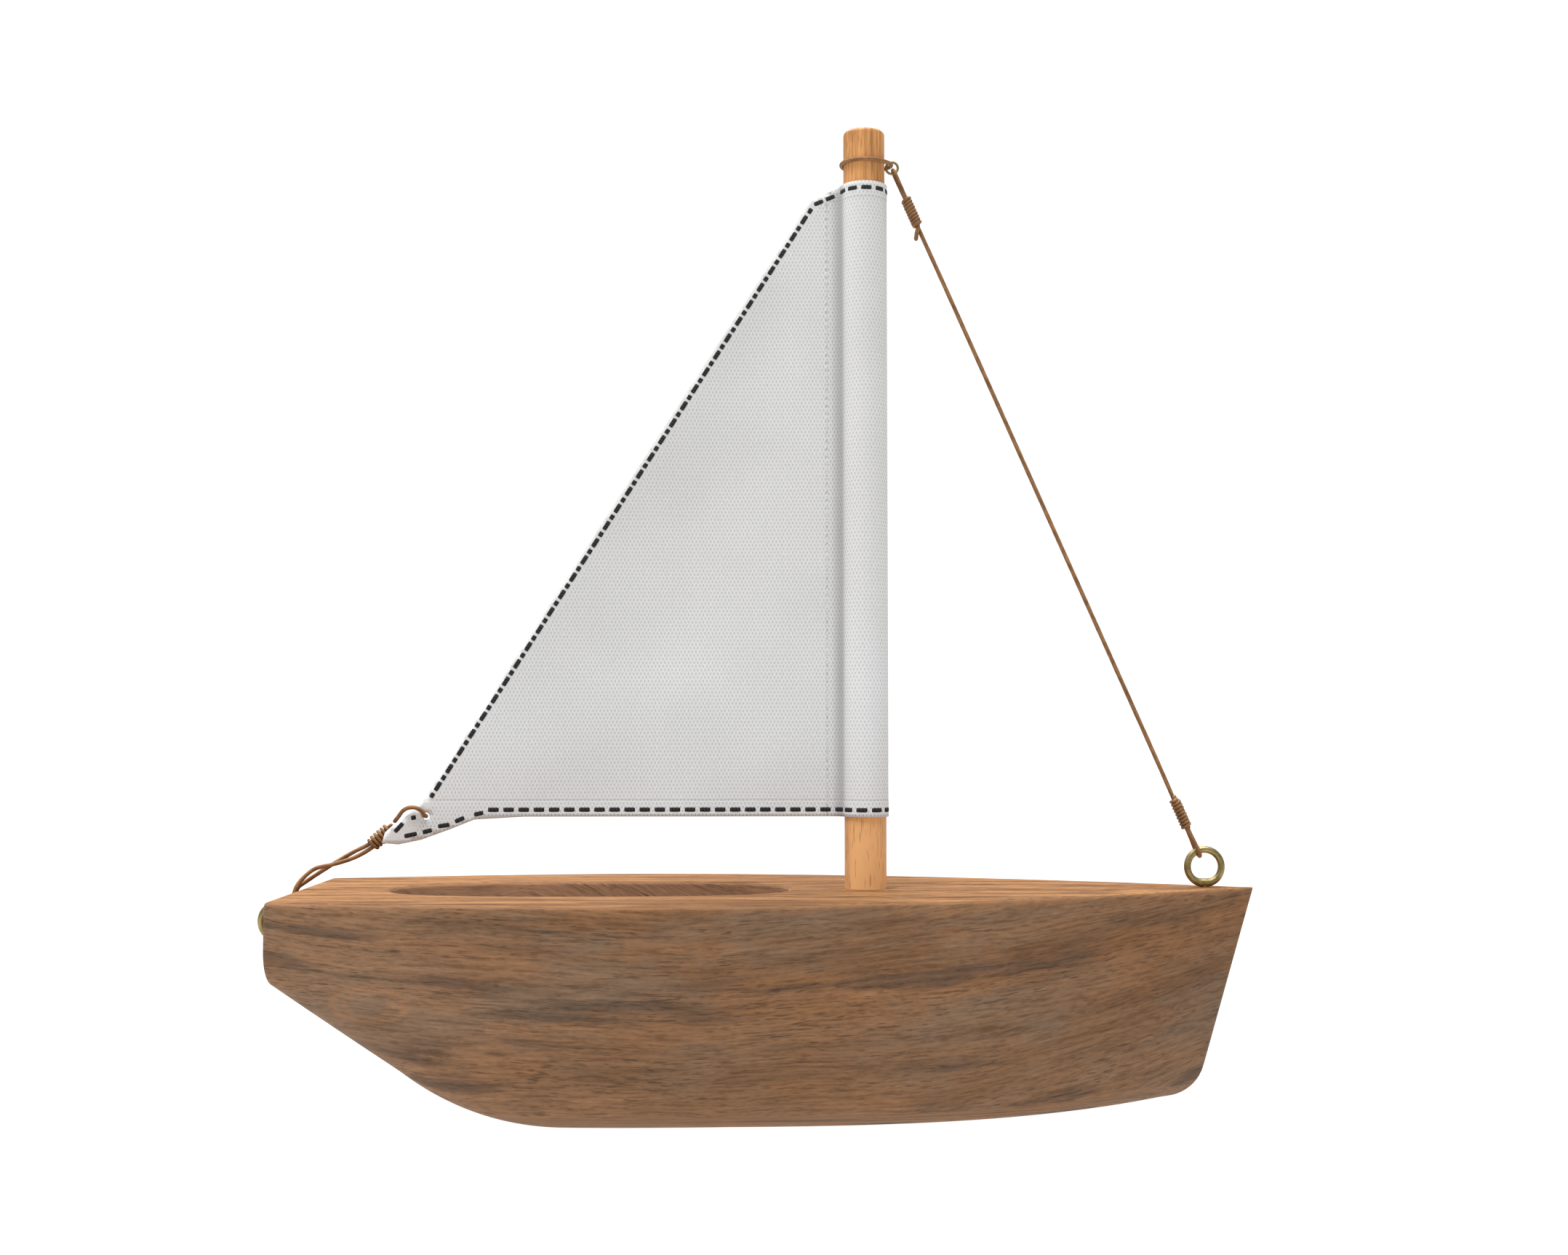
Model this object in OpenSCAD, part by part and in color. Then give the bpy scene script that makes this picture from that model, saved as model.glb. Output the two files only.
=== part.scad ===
// Toy sailing boat: carved wooden hull, dowel mast, canvas sail, cord rigging and brass screw eyes.
// Origin: where the mast's axis meets the surface that the keel rests on. +X bow, +Y port, +Z up.

/* [Hull] */
// Length of the hull from transom to bow tip
hull_len = 272; // [230:1:330]
// Greatest width of the deck
hull_beam = 114; // [95:1:137]
// Height of the deck above the flat of the keel
hull_depth = 59; // [50:1:72]
// Width of the deck at the transom
transom_w = 83; // [68:1:90]
// Height of the transom, from its bottom to the deck
transom_h = 21.8; // [18:0.1:27]
// Distance from the transom to the widest place
widest_from_stern = 97.5; // [80:0.5:115]
// Distance from the mast's axis to the bow tip
mast_from_bow = 111.5; // [95:0.5:130]
// How far the foot of the stem sits behind the bow tip
bow_rake = 17.5; // [10:0.5:22]
// Radius of the stem's foot
foot_r = 12; // [8:0.5:16]
// Angle that the stern run makes with the keel
run_angle = 33.5; // [28:0.1:38]
// Radius where the stern run meets the keel
run_r = 73; // [55:1:90]
// Radius between the sides and the bottom
bilge_r = 20; // [12:0.5:24]

/* [Cockpit] */
// Length of the carved cockpit at the deck
cockpit_len = 113; // [90:0.5:120]
// Width of the cockpit at the deck
cockpit_w = 50; // [40:0.5:60]
// Depth of the cockpit
cockpit_depth = 24; // [15:0.5:28]
// Distance from the mast's axis to the cockpit's forward end
cockpit_gap = 21.5; // [15:0.5:30]

/* [Mast] */
// Diameter of the mast dowel
mast_d = 12; // [10:0.1:15]
// Height of the masthead above the deck
mast_h = 219.5; // [200:0.5:265]
// Depth of the mast step in the hull
mast_step = 40; // [25:1:45]
// Rounding of the masthead's edge
mast_edge = 1.2; // [0.5:0.1:2]

/* [Sail] */
// Thickness of the canvas
cloth = 0.5; // [0.3:0.05:0.8]
// Gap between the mast and the sail's sleeve
sleeve_gap = 0.1; // [0.05:0.01:0.1]
// Length of the sail along the mast
luff_len = 183; // [150:1:190]
// Height of the sail's foot above the deck
foot_h = 20.4; // [18:0.1:30]
// Distance from the mast's axis to the lower end of the leech
foot_len = 126.5; // [105:0.5:130]
// Distance from the mast's axis to the head's outer corner
head_len = 15.5; // [13:0.5:25]
// Distance from the mast's axis to the sleeve's seam
seam_at = 11; // [10:0.5:13]
// Radius of the hole in the clew
clew_hole_r = 1.05; // [0.95:0.05:1.3]

/* [Stitching] */
// Length of one stitch
stitch_len = 3; // [2:0.1:4]
// Distance from one stitch to the next
stitch_pitch = 4.2; // [3.5:0.1:6]
// Width of the sewing thread
thread_w = 1; // [0.6:0.1:1.2]
// Distance from the cloth's edge to the stitching
stitch_in = 2; // [1.5:0.1:3]

/* [Cord] */
// Diameter of the leather cord
cord_d = 1.2; // [1:0.01:1.45]
// Diameter of the cord wound round a whipping
wrap_d = 1; // [0.8:0.05:1.2]

/* [Brass] */
// Outer diameter of a screw eye's ring
eye_d = 11.8; // [11:0.1:14]
// Thickness of a screw eye's wire
eye_wire = 2; // [1.8:0.1:2.4]
// Length of a screw eye's shank in the wood
eye_shank = 12; // [8:0.5:16]
// Distance from the bow tip back to the bow eye
bow_eye_back = 14; // [12:0.5:20]
// Distance from the deck down to the stern eye's shank
stern_eye_down = 8.9; // [8:0.1:11]
// Outer diameter of the masthead ring
ring_d = 4.2; // [4:0.1:5]
// Thickness of the masthead ring's wire
ring_wire = 0.7; // [0.5:0.05:0.8]
// Distance from the masthead down to the strop
strop_down = 9.7; // [8:0.1:12]

/* [Hidden] */

// Hull
deck_z = hull_depth;
bow_x = mast_from_bow;
stern_x = bow_x - hull_len;
widest_x = stern_x + widest_from_stern;
half_beam = hull_beam / 2;
half_transom = transom_w / 2;
aft_power = 1.75;          // fullness of the deck's outline aft of its widest place
fore_power = 1.85;         // fullness of the deck's outline forward of it
keel_power = 2.9;          // the same at the height of the keel
bilge_share = 0.36;        // the bilge's radius is never more than this share of the half width
bilge_of_depth = 0.4;       // nor more than this share of the depth there
bow_flat = 0.4;            // the skin stops this far behind the bow tip
stem_half = 0.3;           // half width of the stem's edge
stations = 54;
bow_crowding = 1.35;       // how much closer together the stations lie towards the bow
side_rows = 5;
bilge_rows = 8;
stem_slope = bow_rake / hull_depth;
stem_secant = sqrt(1 + stem_slope * stem_slope);
foot_x = bow_x - stem_slope * (deck_z - foot_r) - foot_r * stem_secant;
foot_top_x = foot_x + foot_r / stem_secant;
foot_top_z = foot_r - foot_r * stem_slope / stem_secant;
run_z = deck_z - transom_h;
run_meets_x = stern_x + run_z / tan(run_angle);
run_tangent = run_r * tan(run_angle / 2);
run_flat_x = run_meets_x + run_tangent;
run_straight_x = run_meets_x - run_tangent * cos(run_angle);

// Front of the hull at height z: the raked stem above, a round foot below.
function stem_x(z) = z > foot_top_z
    ? bow_x - stem_slope * (deck_z - z)
    : foot_x + sqrt(max(0, foot_r * foot_r - pow(foot_r - z, 2)));

// Height of the bottom at station x: the sloping run, the flat keel, the foot and the stem.
function keel_z(x) = x < run_straight_x ? run_z - (x - stern_x) * tan(run_angle)
    : x < run_flat_x ? run_r - sqrt(run_r * run_r - pow(run_flat_x - x, 2))
    : x < foot_x ? 0
    : x < foot_top_x ? foot_r - sqrt(foot_r * foot_r - pow(x - foot_x, 2))
    : deck_z - (bow_x - x) / stem_slope;

// Half width at station x and height z, before the bilge is rounded.
function half_width(x, z) = x < widest_x
    ? half_beam - (half_beam - half_transom) * pow((widest_x - x) / widest_from_stern, aft_power)
    : half_beam * (1 - pow(min(1, (x - widest_x) / (stem_x(z) - widest_x)),
        keel_power + (fore_power - keel_power) * z / deck_z));

// Port half of the section at station x, from the deck down the side and round the bilge to the keel.
function half_section(x) =
    let (low = keel_z(x), r = min(bilge_r, bilge_share * half_width(x, deck_z), (deck_z - low) * bilge_of_depth))
    concat(
        [for (i = [0 : side_rows - 1])
            let (z = deck_z + (low + r - deck_z) * i / side_rows)
            [x, max(stem_half, half_width(x, z)), z]],
        [for (i = [0 : bilge_rows])
            let (a = 90 * i / bilge_rows, z = low + r * (1 - sin(a)))
            [x, max(stem_half, half_width(x, z) - r * (1 - cos(a))), z]]
    );

// Whole section: down the starboard side and up the port side.
function section(x) =
    let (half = half_section(x), n = len(half))
    concat([for (p = half) [p[0], -p[1], p[2]]], [for (i = [0 : n - 1]) half[n - 1 - i]]);

// Superellipse ring for the cockpit, drawn in by inset at height z.
cockpit_power = 2.7;
cockpit_slope = 0.22;      // how far the cockpit's wall leans in for each millimetre down
cockpit_fillet = 9;
cockpit_points = 48;
cockpit_x = -cockpit_gap - cockpit_len / 2;
function oval(inset, z) =
    [for (i = [0 : cockpit_points - 1])
        let (a = 360 * i / cockpit_points, c = cos(a), s = sin(a))
        [cockpit_x + (cockpit_len / 2 - inset) * sign(c) * pow(abs(c), 2 / cockpit_power),
         (cockpit_w / 2 - inset) * sign(s) * pow(abs(s), 2 / cockpit_power), z]];
function cockpit_inset(down) =
    cockpit_slope * down
    + cockpit_fillet * (1 - sqrt(max(0, 1 - pow(max(0, down - cockpit_depth + cockpit_fillet) / cockpit_fillet, 2))));
cockpit_downs = [24, 23.7, 23, 21.8, 20, 18, 15, 9, 4, -1];

// Sail, as [distance along x, height above the deck]
head_z = foot_h + luff_len;
sleeve_r = mast_d / 2 + sleeve_gap;
sleeve_out_r = sleeve_r + cloth;
leech_low = [-foot_len, foot_h + 4.2];
leech_high = [-head_len, head_z - 4];
// The clew's corner, as offsets from the leech's lower end
clew_offsets = [[-2, -2], [-5, -4.6], [-8, -6.6], [-10.2, -8.6], [-11.1, -11.6], [-6.4, -12], [0, -10.7], [8, -7.8],
    [15, -5], [29, -4.2]];
clew_outline = [for (p = clew_offsets) leech_low + p];
sail_outline = concat([[-sleeve_r, head_z], leech_high, leech_low], clew_outline, [[-sleeve_r, foot_h]]);
clew_hole = leech_low + [1.3, -4];
thread_proud = 0.2;        // how far a stitch stands out of the cloth
seam_lap = cloth;          // extra thickness where the sleeve's hem lies on the panel

// Brass
eye_mean_r = (eye_d - eye_wire) / 2;
bow_eye_c = [bow_x - bow_eye_back, deck_z + eye_d / 2];
stern_eye_c = [stern_x - eye_d / 2, deck_z - stern_eye_down];
ring_mean_r = (ring_d - ring_wire) / 2;
strop_z = deck_z + mast_h - strop_down;
ring_c = [mast_d / 2 + ring_d / 2 + 0.1, strop_z - 0.75];
strop_reach = 1.4;         // how far the strop is drawn out to the ring
strop_points = 48;

// Forestay, drawn in its own line: s runs from the ring's wire to the bow eye's wire
function unit(v) = v / norm(v);
stay_line = unit(bow_eye_c - ring_c);
stay_top = ring_c + ring_mean_r * stay_line;
stay_end = bow_eye_c - eye_mean_r * stay_line;
stay_len = norm(stay_end - stay_top);
stay_side = [-stay_line[1], stay_line[0]];
strand = cord_d / 2 + 0.02;                      // strands lie this far from their shared line
ring_clear = ring_wire / 2 + cord_d / 2 + 0.05;  // and this far from it beside the ring
eye_clear = eye_wire / 2 + cord_d / 2 + 0.05;    // or beside a screw eye's wire
upper_whip = [8.2, 8.6];   // start and length along the stay
lower_whip = [7.2, 9];     // end before the bow eye, and length
// A place on the stay: s along it, y across it, w sideways towards the bow
function on_stay(s, y, w = 0) =
    let (p = stay_top + s * stay_line + w * stay_side) [p[0], y, p[1]];
forestay_route = [
    on_stay(20.9, -strand - 0.4, -2.5), on_stay(18.9, -strand - 0.3, -1.3), on_stay(17, -strand, 0),
    on_stay(12, -strand), on_stay(8, -strand), on_stay(4, -0.8), on_stay(1.6, -ring_clear),
    on_stay(0.3, -ring_clear * 0.95), on_stay(-0.7, -ring_clear * 0.55), on_stay(-1, 0),
    on_stay(-0.7, ring_clear * 0.55), on_stay(0.3, ring_clear * 0.95), on_stay(1.6, ring_clear), on_stay(4, 0.8),
    on_stay(8, strand), on_stay(17, strand), on_stay(26, 0.3), on_stay(45, 0), on_stay(stay_len / 2, 0),
    on_stay(stay_len - 30, 0), on_stay(stay_len - 20, 0.3), on_stay(stay_len - 16, strand),
    on_stay(stay_len - 7.2, strand), on_stay(stay_len - 3.5, 1.1), on_stay(stay_len - 0.6, eye_clear),
    on_stay(stay_len + 0.9, eye_clear * 0.8), on_stay(stay_len + eye_clear, 0), on_stay(stay_len + 0.9, -eye_clear * 0.8),
    on_stay(stay_len - 0.6, -eye_clear), on_stay(stay_len - 3.5, -1.1), on_stay(stay_len - 7.2, -strand),
    on_stay(stay_len - 16, -strand), on_stay(stay_len - 17.4, -strand - 0.1, 0.3)
];

// Mainsheet: from the whipping down to the stern eye, back through the whipping, then through the clew's hole.
// The whipping has its own line: s runs from its after end towards the clew, and w is square to it, upwards.
sheet_whip_aft = leech_low + [-14.4, -12.2];
sheet_whip_fore = leech_low + [-9, -7.6];
whip_y = 2.3;
sheet_line = unit(sheet_whip_fore - sheet_whip_aft);
sheet_side = [-sheet_line[1], sheet_line[0]];
apart = cord_d / 2 + 0.05; // strands that cross or lie side by side are this far from the line between them
function on_sheet(s, y, w) =
    let (p = sheet_whip_aft + s * sheet_line + w * sheet_side) [p[0], y, deck_z + p[1]];
function from_clew(dx, y, dz) = [leech_low[0] + dx, y, deck_z + leech_low[1] + dz];
function from_transom(dx, y, dz) = [stern_x + dx, y, deck_z + dz];
function from_stern_eye(dx, y, dz) = [stern_eye_c[0] + dx, y, stern_eye_c[1] + dz];
mainsheet_route = [
    on_sheet(8.2, whip_y, apart), on_sheet(4, whip_y, apart), on_sheet(-0.5, whip_y, apart),
    on_sheet(-5.2, whip_y - 0.2, apart + 1.1), on_sheet(-11.6, apart * 2 + 0.2, apart + 2.2),
    from_transom(4.4, apart + 0.2, 4.1), from_transom(1.6, apart + 0.2, 2.2), from_transom(-0.7, apart + 0.3, 0.5),
    from_stern_eye(4.3, 1.2, 7.4), from_stern_eye(3.3, eye_clear, 5.6), from_stern_eye(2.3, eye_clear, 4),
    from_stern_eye(1.7, 1.1, 3), from_stern_eye(1.55, 0, 2.75), from_stern_eye(1.7, -1.1, 3),
    from_stern_eye(2.3, -eye_clear, 4), from_stern_eye(3.3, -eye_clear, 5.6), from_stern_eye(4.3, -1.2, 7.4),
    from_transom(-0.8, -apart - 0.2, 0.8), from_transom(1, -apart - 0.2, 3.2), from_transom(4.4, -apart - 0.1, 5.9),
    on_sheet(-11.6, -0.1, apart + 2.1), on_sheet(-5.6, whip_y - apart - 0.2, -apart + 0.9),
    on_sheet(-0.5, whip_y, -apart), on_sheet(4, whip_y, -apart), on_sheet(7.6, whip_y - 0.2, -apart),
    from_clew(-3, 1.3, -4.8), from_clew(0, 1.2, -4), from_clew(1, 0.8, -4), from_clew(1.3, 0, -4),
    from_clew(1, -0.9, -3.7), from_clew(0.2, -1.5, -2.4), from_clew(-1.6, -1.7, -1.5), from_clew(-3.6, -1.3, -1.6),
    from_clew(-5.4, 0, -2.6), from_clew(-6.6, 1.2, -4), from_clew(-8.4, whip_y + 2.6 * apart, -5.8)
];

// Polyhedron through rings that each hold the same number of points; closed joins the last ring to the first,
// and otherwise each end is a fan of triangles about its middle.
function middle(ring) = [for (p = ring) 1] * ring / len(ring);
module skin(rings, closed = false) {
    n = len(rings[0]);
    m = len(rings);
    points = [for (ring = rings) each ring];
    walls = [for (i = [0 : (closed ? m - 1 : m - 2)], j = [0 : n - 1])
        let (a = i * n, b = ((i + 1) % m) * n, k = (j + 1) % n)
        each [[a + j, b + j, b + k], [a + j, b + k, a + k]]];
    fans = [for (j = [0 : n - 1])
        let (k = (j + 1) % n)
        each [[m * n, j, k], [m * n + 1, (m - 1) * n + k, (m - 1) * n + j]]];
    if (closed)
        polyhedron(points, walls, convexity = 8);
    else
        polyhedron(concat(points, [middle(rings[0]), middle(rings[m - 1])]), concat(walls, fans), convexity = 8);
}

// Rings across a route: each stands square to the route, and turns from one to the next without twist.
tube_sides = 8;
function tangent(route, i, closed) =
    let (m = len(route))
    closed ? unit(route[(i + 1) % m] - route[(i + m - 1) % m])
    : unit(route[min(i + 1, m - 1)] - route[max(i - 1, 0)]);
function square_to(v, t) = unit(v - (v * t) * t);
function tube_rings(route, r, start_up, closed = false) =
    let (ts = [for (i = [0 : len(route) - 1]) tangent(route, i, closed)])
    let (ups = [for (i = 0, up = square_to(start_up, ts[0]); i < len(route);
        i = i + 1, up = i < len(route) ? square_to(up, ts[i]) : up) up])
    [for (i = [0 : len(route) - 1])
        let (u = ups[i], v = cross(ts[i], u))
        [for (j = [0 : tube_sides - 1])
            let (a = 360 * j / tube_sides) route[i] + r * (cos(a) * u + sin(a) * v)]];

// Turns of cord round a bundle, along +Z from the origin.
module whipping(length, turns) {
    core_r = cord_d * 0.8;
    pitch = length / turns;
    rotate_extrude($fn = 48)
        union() {
            square([core_r + wrap_d / 2, length]);
            for (i = [0 : turns - 1])
                translate([core_r + wrap_d / 2, (i + 0.5) * pitch])
                    circle(d = min(wrap_d, pitch * 1.04), $fn = 24);
        }
}

// Puts a child that runs along +Z from a to b, both given as [x, y, z].
module along(a, b) {
    d = b - a;
    translate(a)
        rotate([0, acos(d[2] / norm(d)), atan2(d[1], d[0])])
            children();
}

// Ring of wire in the x-z plane.
module wire_ring(outer_d, wire) {
    rotate([90, 0, 0])
        rotate_extrude($fn = 64)
            translate([(outer_d - wire) / 2, 0])
                circle(d = wire, $fn = 32);
}

// Screw eye with its shank down from the ring, along -Z, its ring's centre at the origin.
module screw_eye() {
    wire_ring(eye_d, eye_wire);
    translate([0, 0, -eye_d / 2 - eye_shank])
        cylinder(d = eye_wire, h = eye_shank + eye_wire / 2, $fn = 32);
}

module hull() {
    color("#8a5a38")
        difference() {
            skin([for (i = [0 : stations])
                section(stern_x + (hull_len - bow_flat) * (1 - pow(1 - i / stations, bow_crowding)))]);
            skin([for (d = cockpit_downs)
                let (down = min(d * cockpit_depth / 24, cockpit_depth))
                oval(d < 0 ? -cockpit_slope : cockpit_inset(down), deck_z - down)]);
            translate([0, 0, deck_z - mast_step])
                cylinder(d = mast_d, h = mast_step + 1, $fn = 96);
            translate([bow_eye_c[0], 0, deck_z - eye_shank])
                cylinder(d = eye_wire, h = eye_shank + 1, $fn = 32);
            translate([stern_x - 1, 0, stern_eye_c[1]])
                rotate([0, 90, 0])
                    cylinder(d = eye_wire, h = eye_shank + 1, $fn = 32);
        }
}

module mast() {
    top = mast_h + mast_step;
    color("#d99a5b")
        translate([0, 0, deck_z - mast_step])
            rotate_extrude($fn = 96)
                polygon(concat([[0, 0], [mast_d / 2, 0]],
                    [for (a = [0 : 15 : 90])
                        [mast_d / 2 - mast_edge * (1 - cos(a)), top - mast_edge * (1 - sin(a))]],
                    [[0, top]]));
}

module sail() {
    color("#e6e5e1")
        translate([0, 0, deck_z])
            difference() {
                union() {
                    translate([0, 0, foot_h])
                        cylinder(r = sleeve_out_r, h = luff_len, $fn = 96);
                    rotate([90, 0, 0])
                        linear_extrude(cloth, center = true)
                            polygon(sail_outline);
                    translate([-seam_at - thread_w, -(cloth + seam_lap) / 2, foot_h])
                        cube([seam_at + thread_w - sleeve_r, cloth + seam_lap, luff_len - 3]);
                }
                translate([0, 0, foot_h - 1])
                    cylinder(r = sleeve_r, h = luff_len + 2, $fn = 96);
                translate([clew_hole[0], 0, clew_hole[1]])
                    rotate([90, 0, 0])
                        cylinder(r = clew_hole_r, h = 4, center = true, $fn = 32);
            }
}

// Straight row of stitches through the cloth from a to b, each [x, height above the deck].
module stitch_row(a, b, length = stitch_len, pitch = stitch_pitch, width = thread_w, thick = cloth) {
    count = floor((norm(b - a) + pitch - length) / pitch);
    angle = atan2(b[1] - a[1], b[0] - a[0]);
    for (i = [0 : count - 1])
        translate([a[0], 0, deck_z + a[1]])
            rotate([0, -angle, 0])
                translate([i * pitch, -thick / 2 - thread_proud, -width / 2])
                    cube([length, thick + 2 * thread_proud, width]);
}

// Row of stitches round the sleeve at a height above the deck; the stitches bend with the sleeve.
module sleeve_row(height) {
    step = 360 * stitch_pitch / (2 * PI * sleeve_out_r);
    sweep = 360 * stitch_len / (2 * PI * sleeve_out_r);
    count = floor(300 / step);
    for (i = [0 : count - 1])
        rotate([0, 0, -(count - 1) * step / 2 - sweep / 2 + i * step])
            translate([0, 0, deck_z + height - thread_w / 2])
                rotate_extrude(angle = sweep, $fn = 96)
                    translate([sleeve_out_r - cloth / 2, 0])
                        square([cloth / 2 + thread_proud, thread_w]);
}

module head_stitching() {
    color("#1d1d1f") {
        sleeve_row(head_z - stitch_in);
        stitch_row([-head_len + 1.2, head_z - 5.6], [-sleeve_out_r - 0.3, head_z - stitch_in - 0.3]);
    }
}

module leech_stitching() {
    inward = stitch_in * 0.55;
    color("#1d1d1f")
        stitch_row(leech_low + [inward + 2, 0.4], leech_high + [inward, -stitch_in]);
}

module foot_stitching() {
    color("#1d1d1f") {
        sleeve_row(foot_h + stitch_in);
        stitch_row(clew_outline[9] + [-2, stitch_in], [-sleeve_out_r - 0.8, foot_h + stitch_in]);
        stitch_row(clew_outline[5] + [0.6, stitch_in], clew_outline[8] + [0.4, stitch_in]);
    }
}

module sleeve_stitching() {
    color("#d4d3cf")
        stitch_row([-seam_at, foot_h + 4], [-seam_at, head_z - 7], stitch_len * 0.6, stitch_pitch * 0.6, 0.3,
            cloth + seam_lap);
}

module bow_eye() {
    color("#a38f4e")
        translate([bow_eye_c[0], 0, bow_eye_c[1]])
            screw_eye();
}

module stern_eye() {
    color("#a38f4e")
        translate([stern_eye_c[0], 0, stern_eye_c[1]])
            rotate([0, -90, 0])
                screw_eye();
}

module masthead_strop() {
    route = [for (i = [0 : strop_points - 1])
        let (a = 360 * i / strop_points,
            r = mast_d / 2 + cord_d / 2 + strop_reach * pow(max(0, cos(a)), 8))
        [r * cos(a), r * sin(a), strop_z]];
    color("#8d5a2b")
        skin(tube_rings(route, cord_d / 2, [0, 0, 1], true), true);
}

module masthead_ring() {
    color("#a38f4e")
        translate([ring_c[0], 0, ring_c[1]])
            wire_ring(ring_d, ring_wire);
}

module forestay() {
    color("#8d5a2b")
        skin(tube_rings(forestay_route, cord_d / 2, [0, 1, 0]));
}

module forestay_upper_whipping() {
    color("#7c4a20")
        along(on_stay(upper_whip[0], 0), on_stay(upper_whip[0] + upper_whip[1], 0))
            whipping(upper_whip[1], 9);
}

module forestay_lower_whipping() {
    start = stay_len - lower_whip[0] - lower_whip[1];
    color("#7c4a20")
        along(on_stay(start, 0), on_stay(start + lower_whip[1], 0))
            whipping(lower_whip[1], 9);
}

module mainsheet() {
    color("#8d5a2b")
        skin(tube_rings(mainsheet_route, cord_d / 2, [0, 1, 0]));
}

module mainsheet_whipping() {
    a = [sheet_whip_aft[0], whip_y, deck_z + sheet_whip_aft[1]];
    b = [sheet_whip_fore[0], whip_y, deck_z + sheet_whip_fore[1]];
    color("#7c4a20")
        along(a, b)
            whipping(norm(b - a), 6);
}

hull();
mast();
sail();
head_stitching();
leech_stitching();
foot_stitching();
sleeve_stitching();
bow_eye();
stern_eye();
masthead_strop();
masthead_ring();
forestay();
forestay_upper_whipping();
forestay_lower_whipping();
mainsheet();
mainsheet_whipping();
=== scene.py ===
"""Toy sailing boat: carved wooden hull, dowel mast, canvas sail, cord rigging and brass screw eyes.

Shapes are worked out in millimetres in the CAD frame, and go into their meshes in metres.
"""

import math

import bpy
import numpy as np
from mathutils.geometry import delaunay_2d_cdt
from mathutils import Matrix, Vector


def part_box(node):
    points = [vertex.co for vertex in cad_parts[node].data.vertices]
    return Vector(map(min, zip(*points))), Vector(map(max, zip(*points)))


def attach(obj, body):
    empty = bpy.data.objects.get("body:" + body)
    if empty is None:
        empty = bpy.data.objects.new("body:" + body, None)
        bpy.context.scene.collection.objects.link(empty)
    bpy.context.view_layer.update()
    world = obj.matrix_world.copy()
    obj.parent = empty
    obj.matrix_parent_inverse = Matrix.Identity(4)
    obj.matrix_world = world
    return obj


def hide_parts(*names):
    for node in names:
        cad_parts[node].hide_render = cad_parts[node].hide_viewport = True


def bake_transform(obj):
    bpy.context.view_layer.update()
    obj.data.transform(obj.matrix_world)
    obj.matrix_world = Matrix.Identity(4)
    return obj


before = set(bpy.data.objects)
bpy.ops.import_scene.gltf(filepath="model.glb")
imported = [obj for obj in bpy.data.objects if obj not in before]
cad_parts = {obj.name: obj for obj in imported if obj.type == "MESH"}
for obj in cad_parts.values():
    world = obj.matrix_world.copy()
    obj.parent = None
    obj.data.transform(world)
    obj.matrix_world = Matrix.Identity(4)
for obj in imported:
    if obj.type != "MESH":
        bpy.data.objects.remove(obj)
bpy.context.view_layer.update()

MM = 0.001
full_turn = 2 * math.pi


def box_mm(node):
    """Lowest and highest corners of a CAD node, in millimetres."""
    low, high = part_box(node)
    return np.array(low) / MM, np.array(high) / MM


# ---- sizes

hull_low, hull_high = box_mm("hull")
mast_low, mast_high = box_mm("mast")
deck_z = hull_high[2]
stern_x = hull_low[0]
bow_x = hull_high[0] + 0.4
half_beam = hull_high[1]
mast_r = (mast_high[0] - mast_low[0]) / 2
mast_top = mast_high[2]

# Hull
half_transom = 41.5
widest_x = stern_x + 97.5
aft_power = 1.75            # power of the plan's curve aft of the widest station
fore_power = 1.85           # and forward of it, at the deck
keel_power = 2.9            # and at the keel
bow_rake = 17.5
stem_round = 0.7
edge_r = 1.0                # rounding along the deck's edge and the transom
foot_r = 12.0
run_angle = math.radians(33.5)
run_r = 73.0
transom_h = 21.8
bilge_r = 20.0              # the bilge's radius, or less:
bilge_share = 0.36          # this share of the half width there,
bilge_of_depth = 0.4        # and this share of the depth there
stem_slope = bow_rake / deck_z
stem_secant = math.hypot(1, stem_slope)
foot_x = bow_x - stem_slope * (deck_z - foot_r) - foot_r * stem_secant
foot_top_x = foot_x + foot_r / stem_secant
foot_top_z = foot_r - foot_r * stem_slope / stem_secant
run_z = deck_z - transom_h
run_meets_x = stern_x + run_z / math.tan(run_angle)
run_tangent = run_r * math.tan(run_angle / 2)
run_flat_x = run_meets_x + run_tangent
run_straight_x = run_meets_x - run_tangent * math.cos(run_angle)

# Cockpit
cockpit_half = np.array([56.5, 25.0])
cockpit_x = -21.5 - cockpit_half[0]
cockpit_depth = 24.0
cockpit_power = 2.7
cockpit_slope = 0.22
cockpit_fillet = 9.0
cockpit_rim = 0.9           # rounding of its upper edge
knot = (-131.5, 34.0)       # a knot in the wood: its middle, x and height
knot_half = (10.0, 4.405)   # and its half length and half height

# Sail
cloth = 0.5
foot_z = deck_z + 20.4
head_z = foot_z + 183.0
sleeve_mid_r = mast_r + 0.1 + cloth / 2
seam_x = -11.0
leech_low = np.array([-126.5, foot_z + 4.2])
leech_high = np.array([-15.5, head_z - 4.0])
clew_offsets = np.array([
    [-2, -2], [-5, -4.6], [-8, -6.6], [-10.2, -8.6], [-11.1, -11.6], [-6.4, -12], [0, -10.7], [8, -7.8],
    [15, -5], [29, -4.2],
])
clew_hole = leech_low + [1.3, -4.0]
clew_hole_r = 1.05

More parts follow.
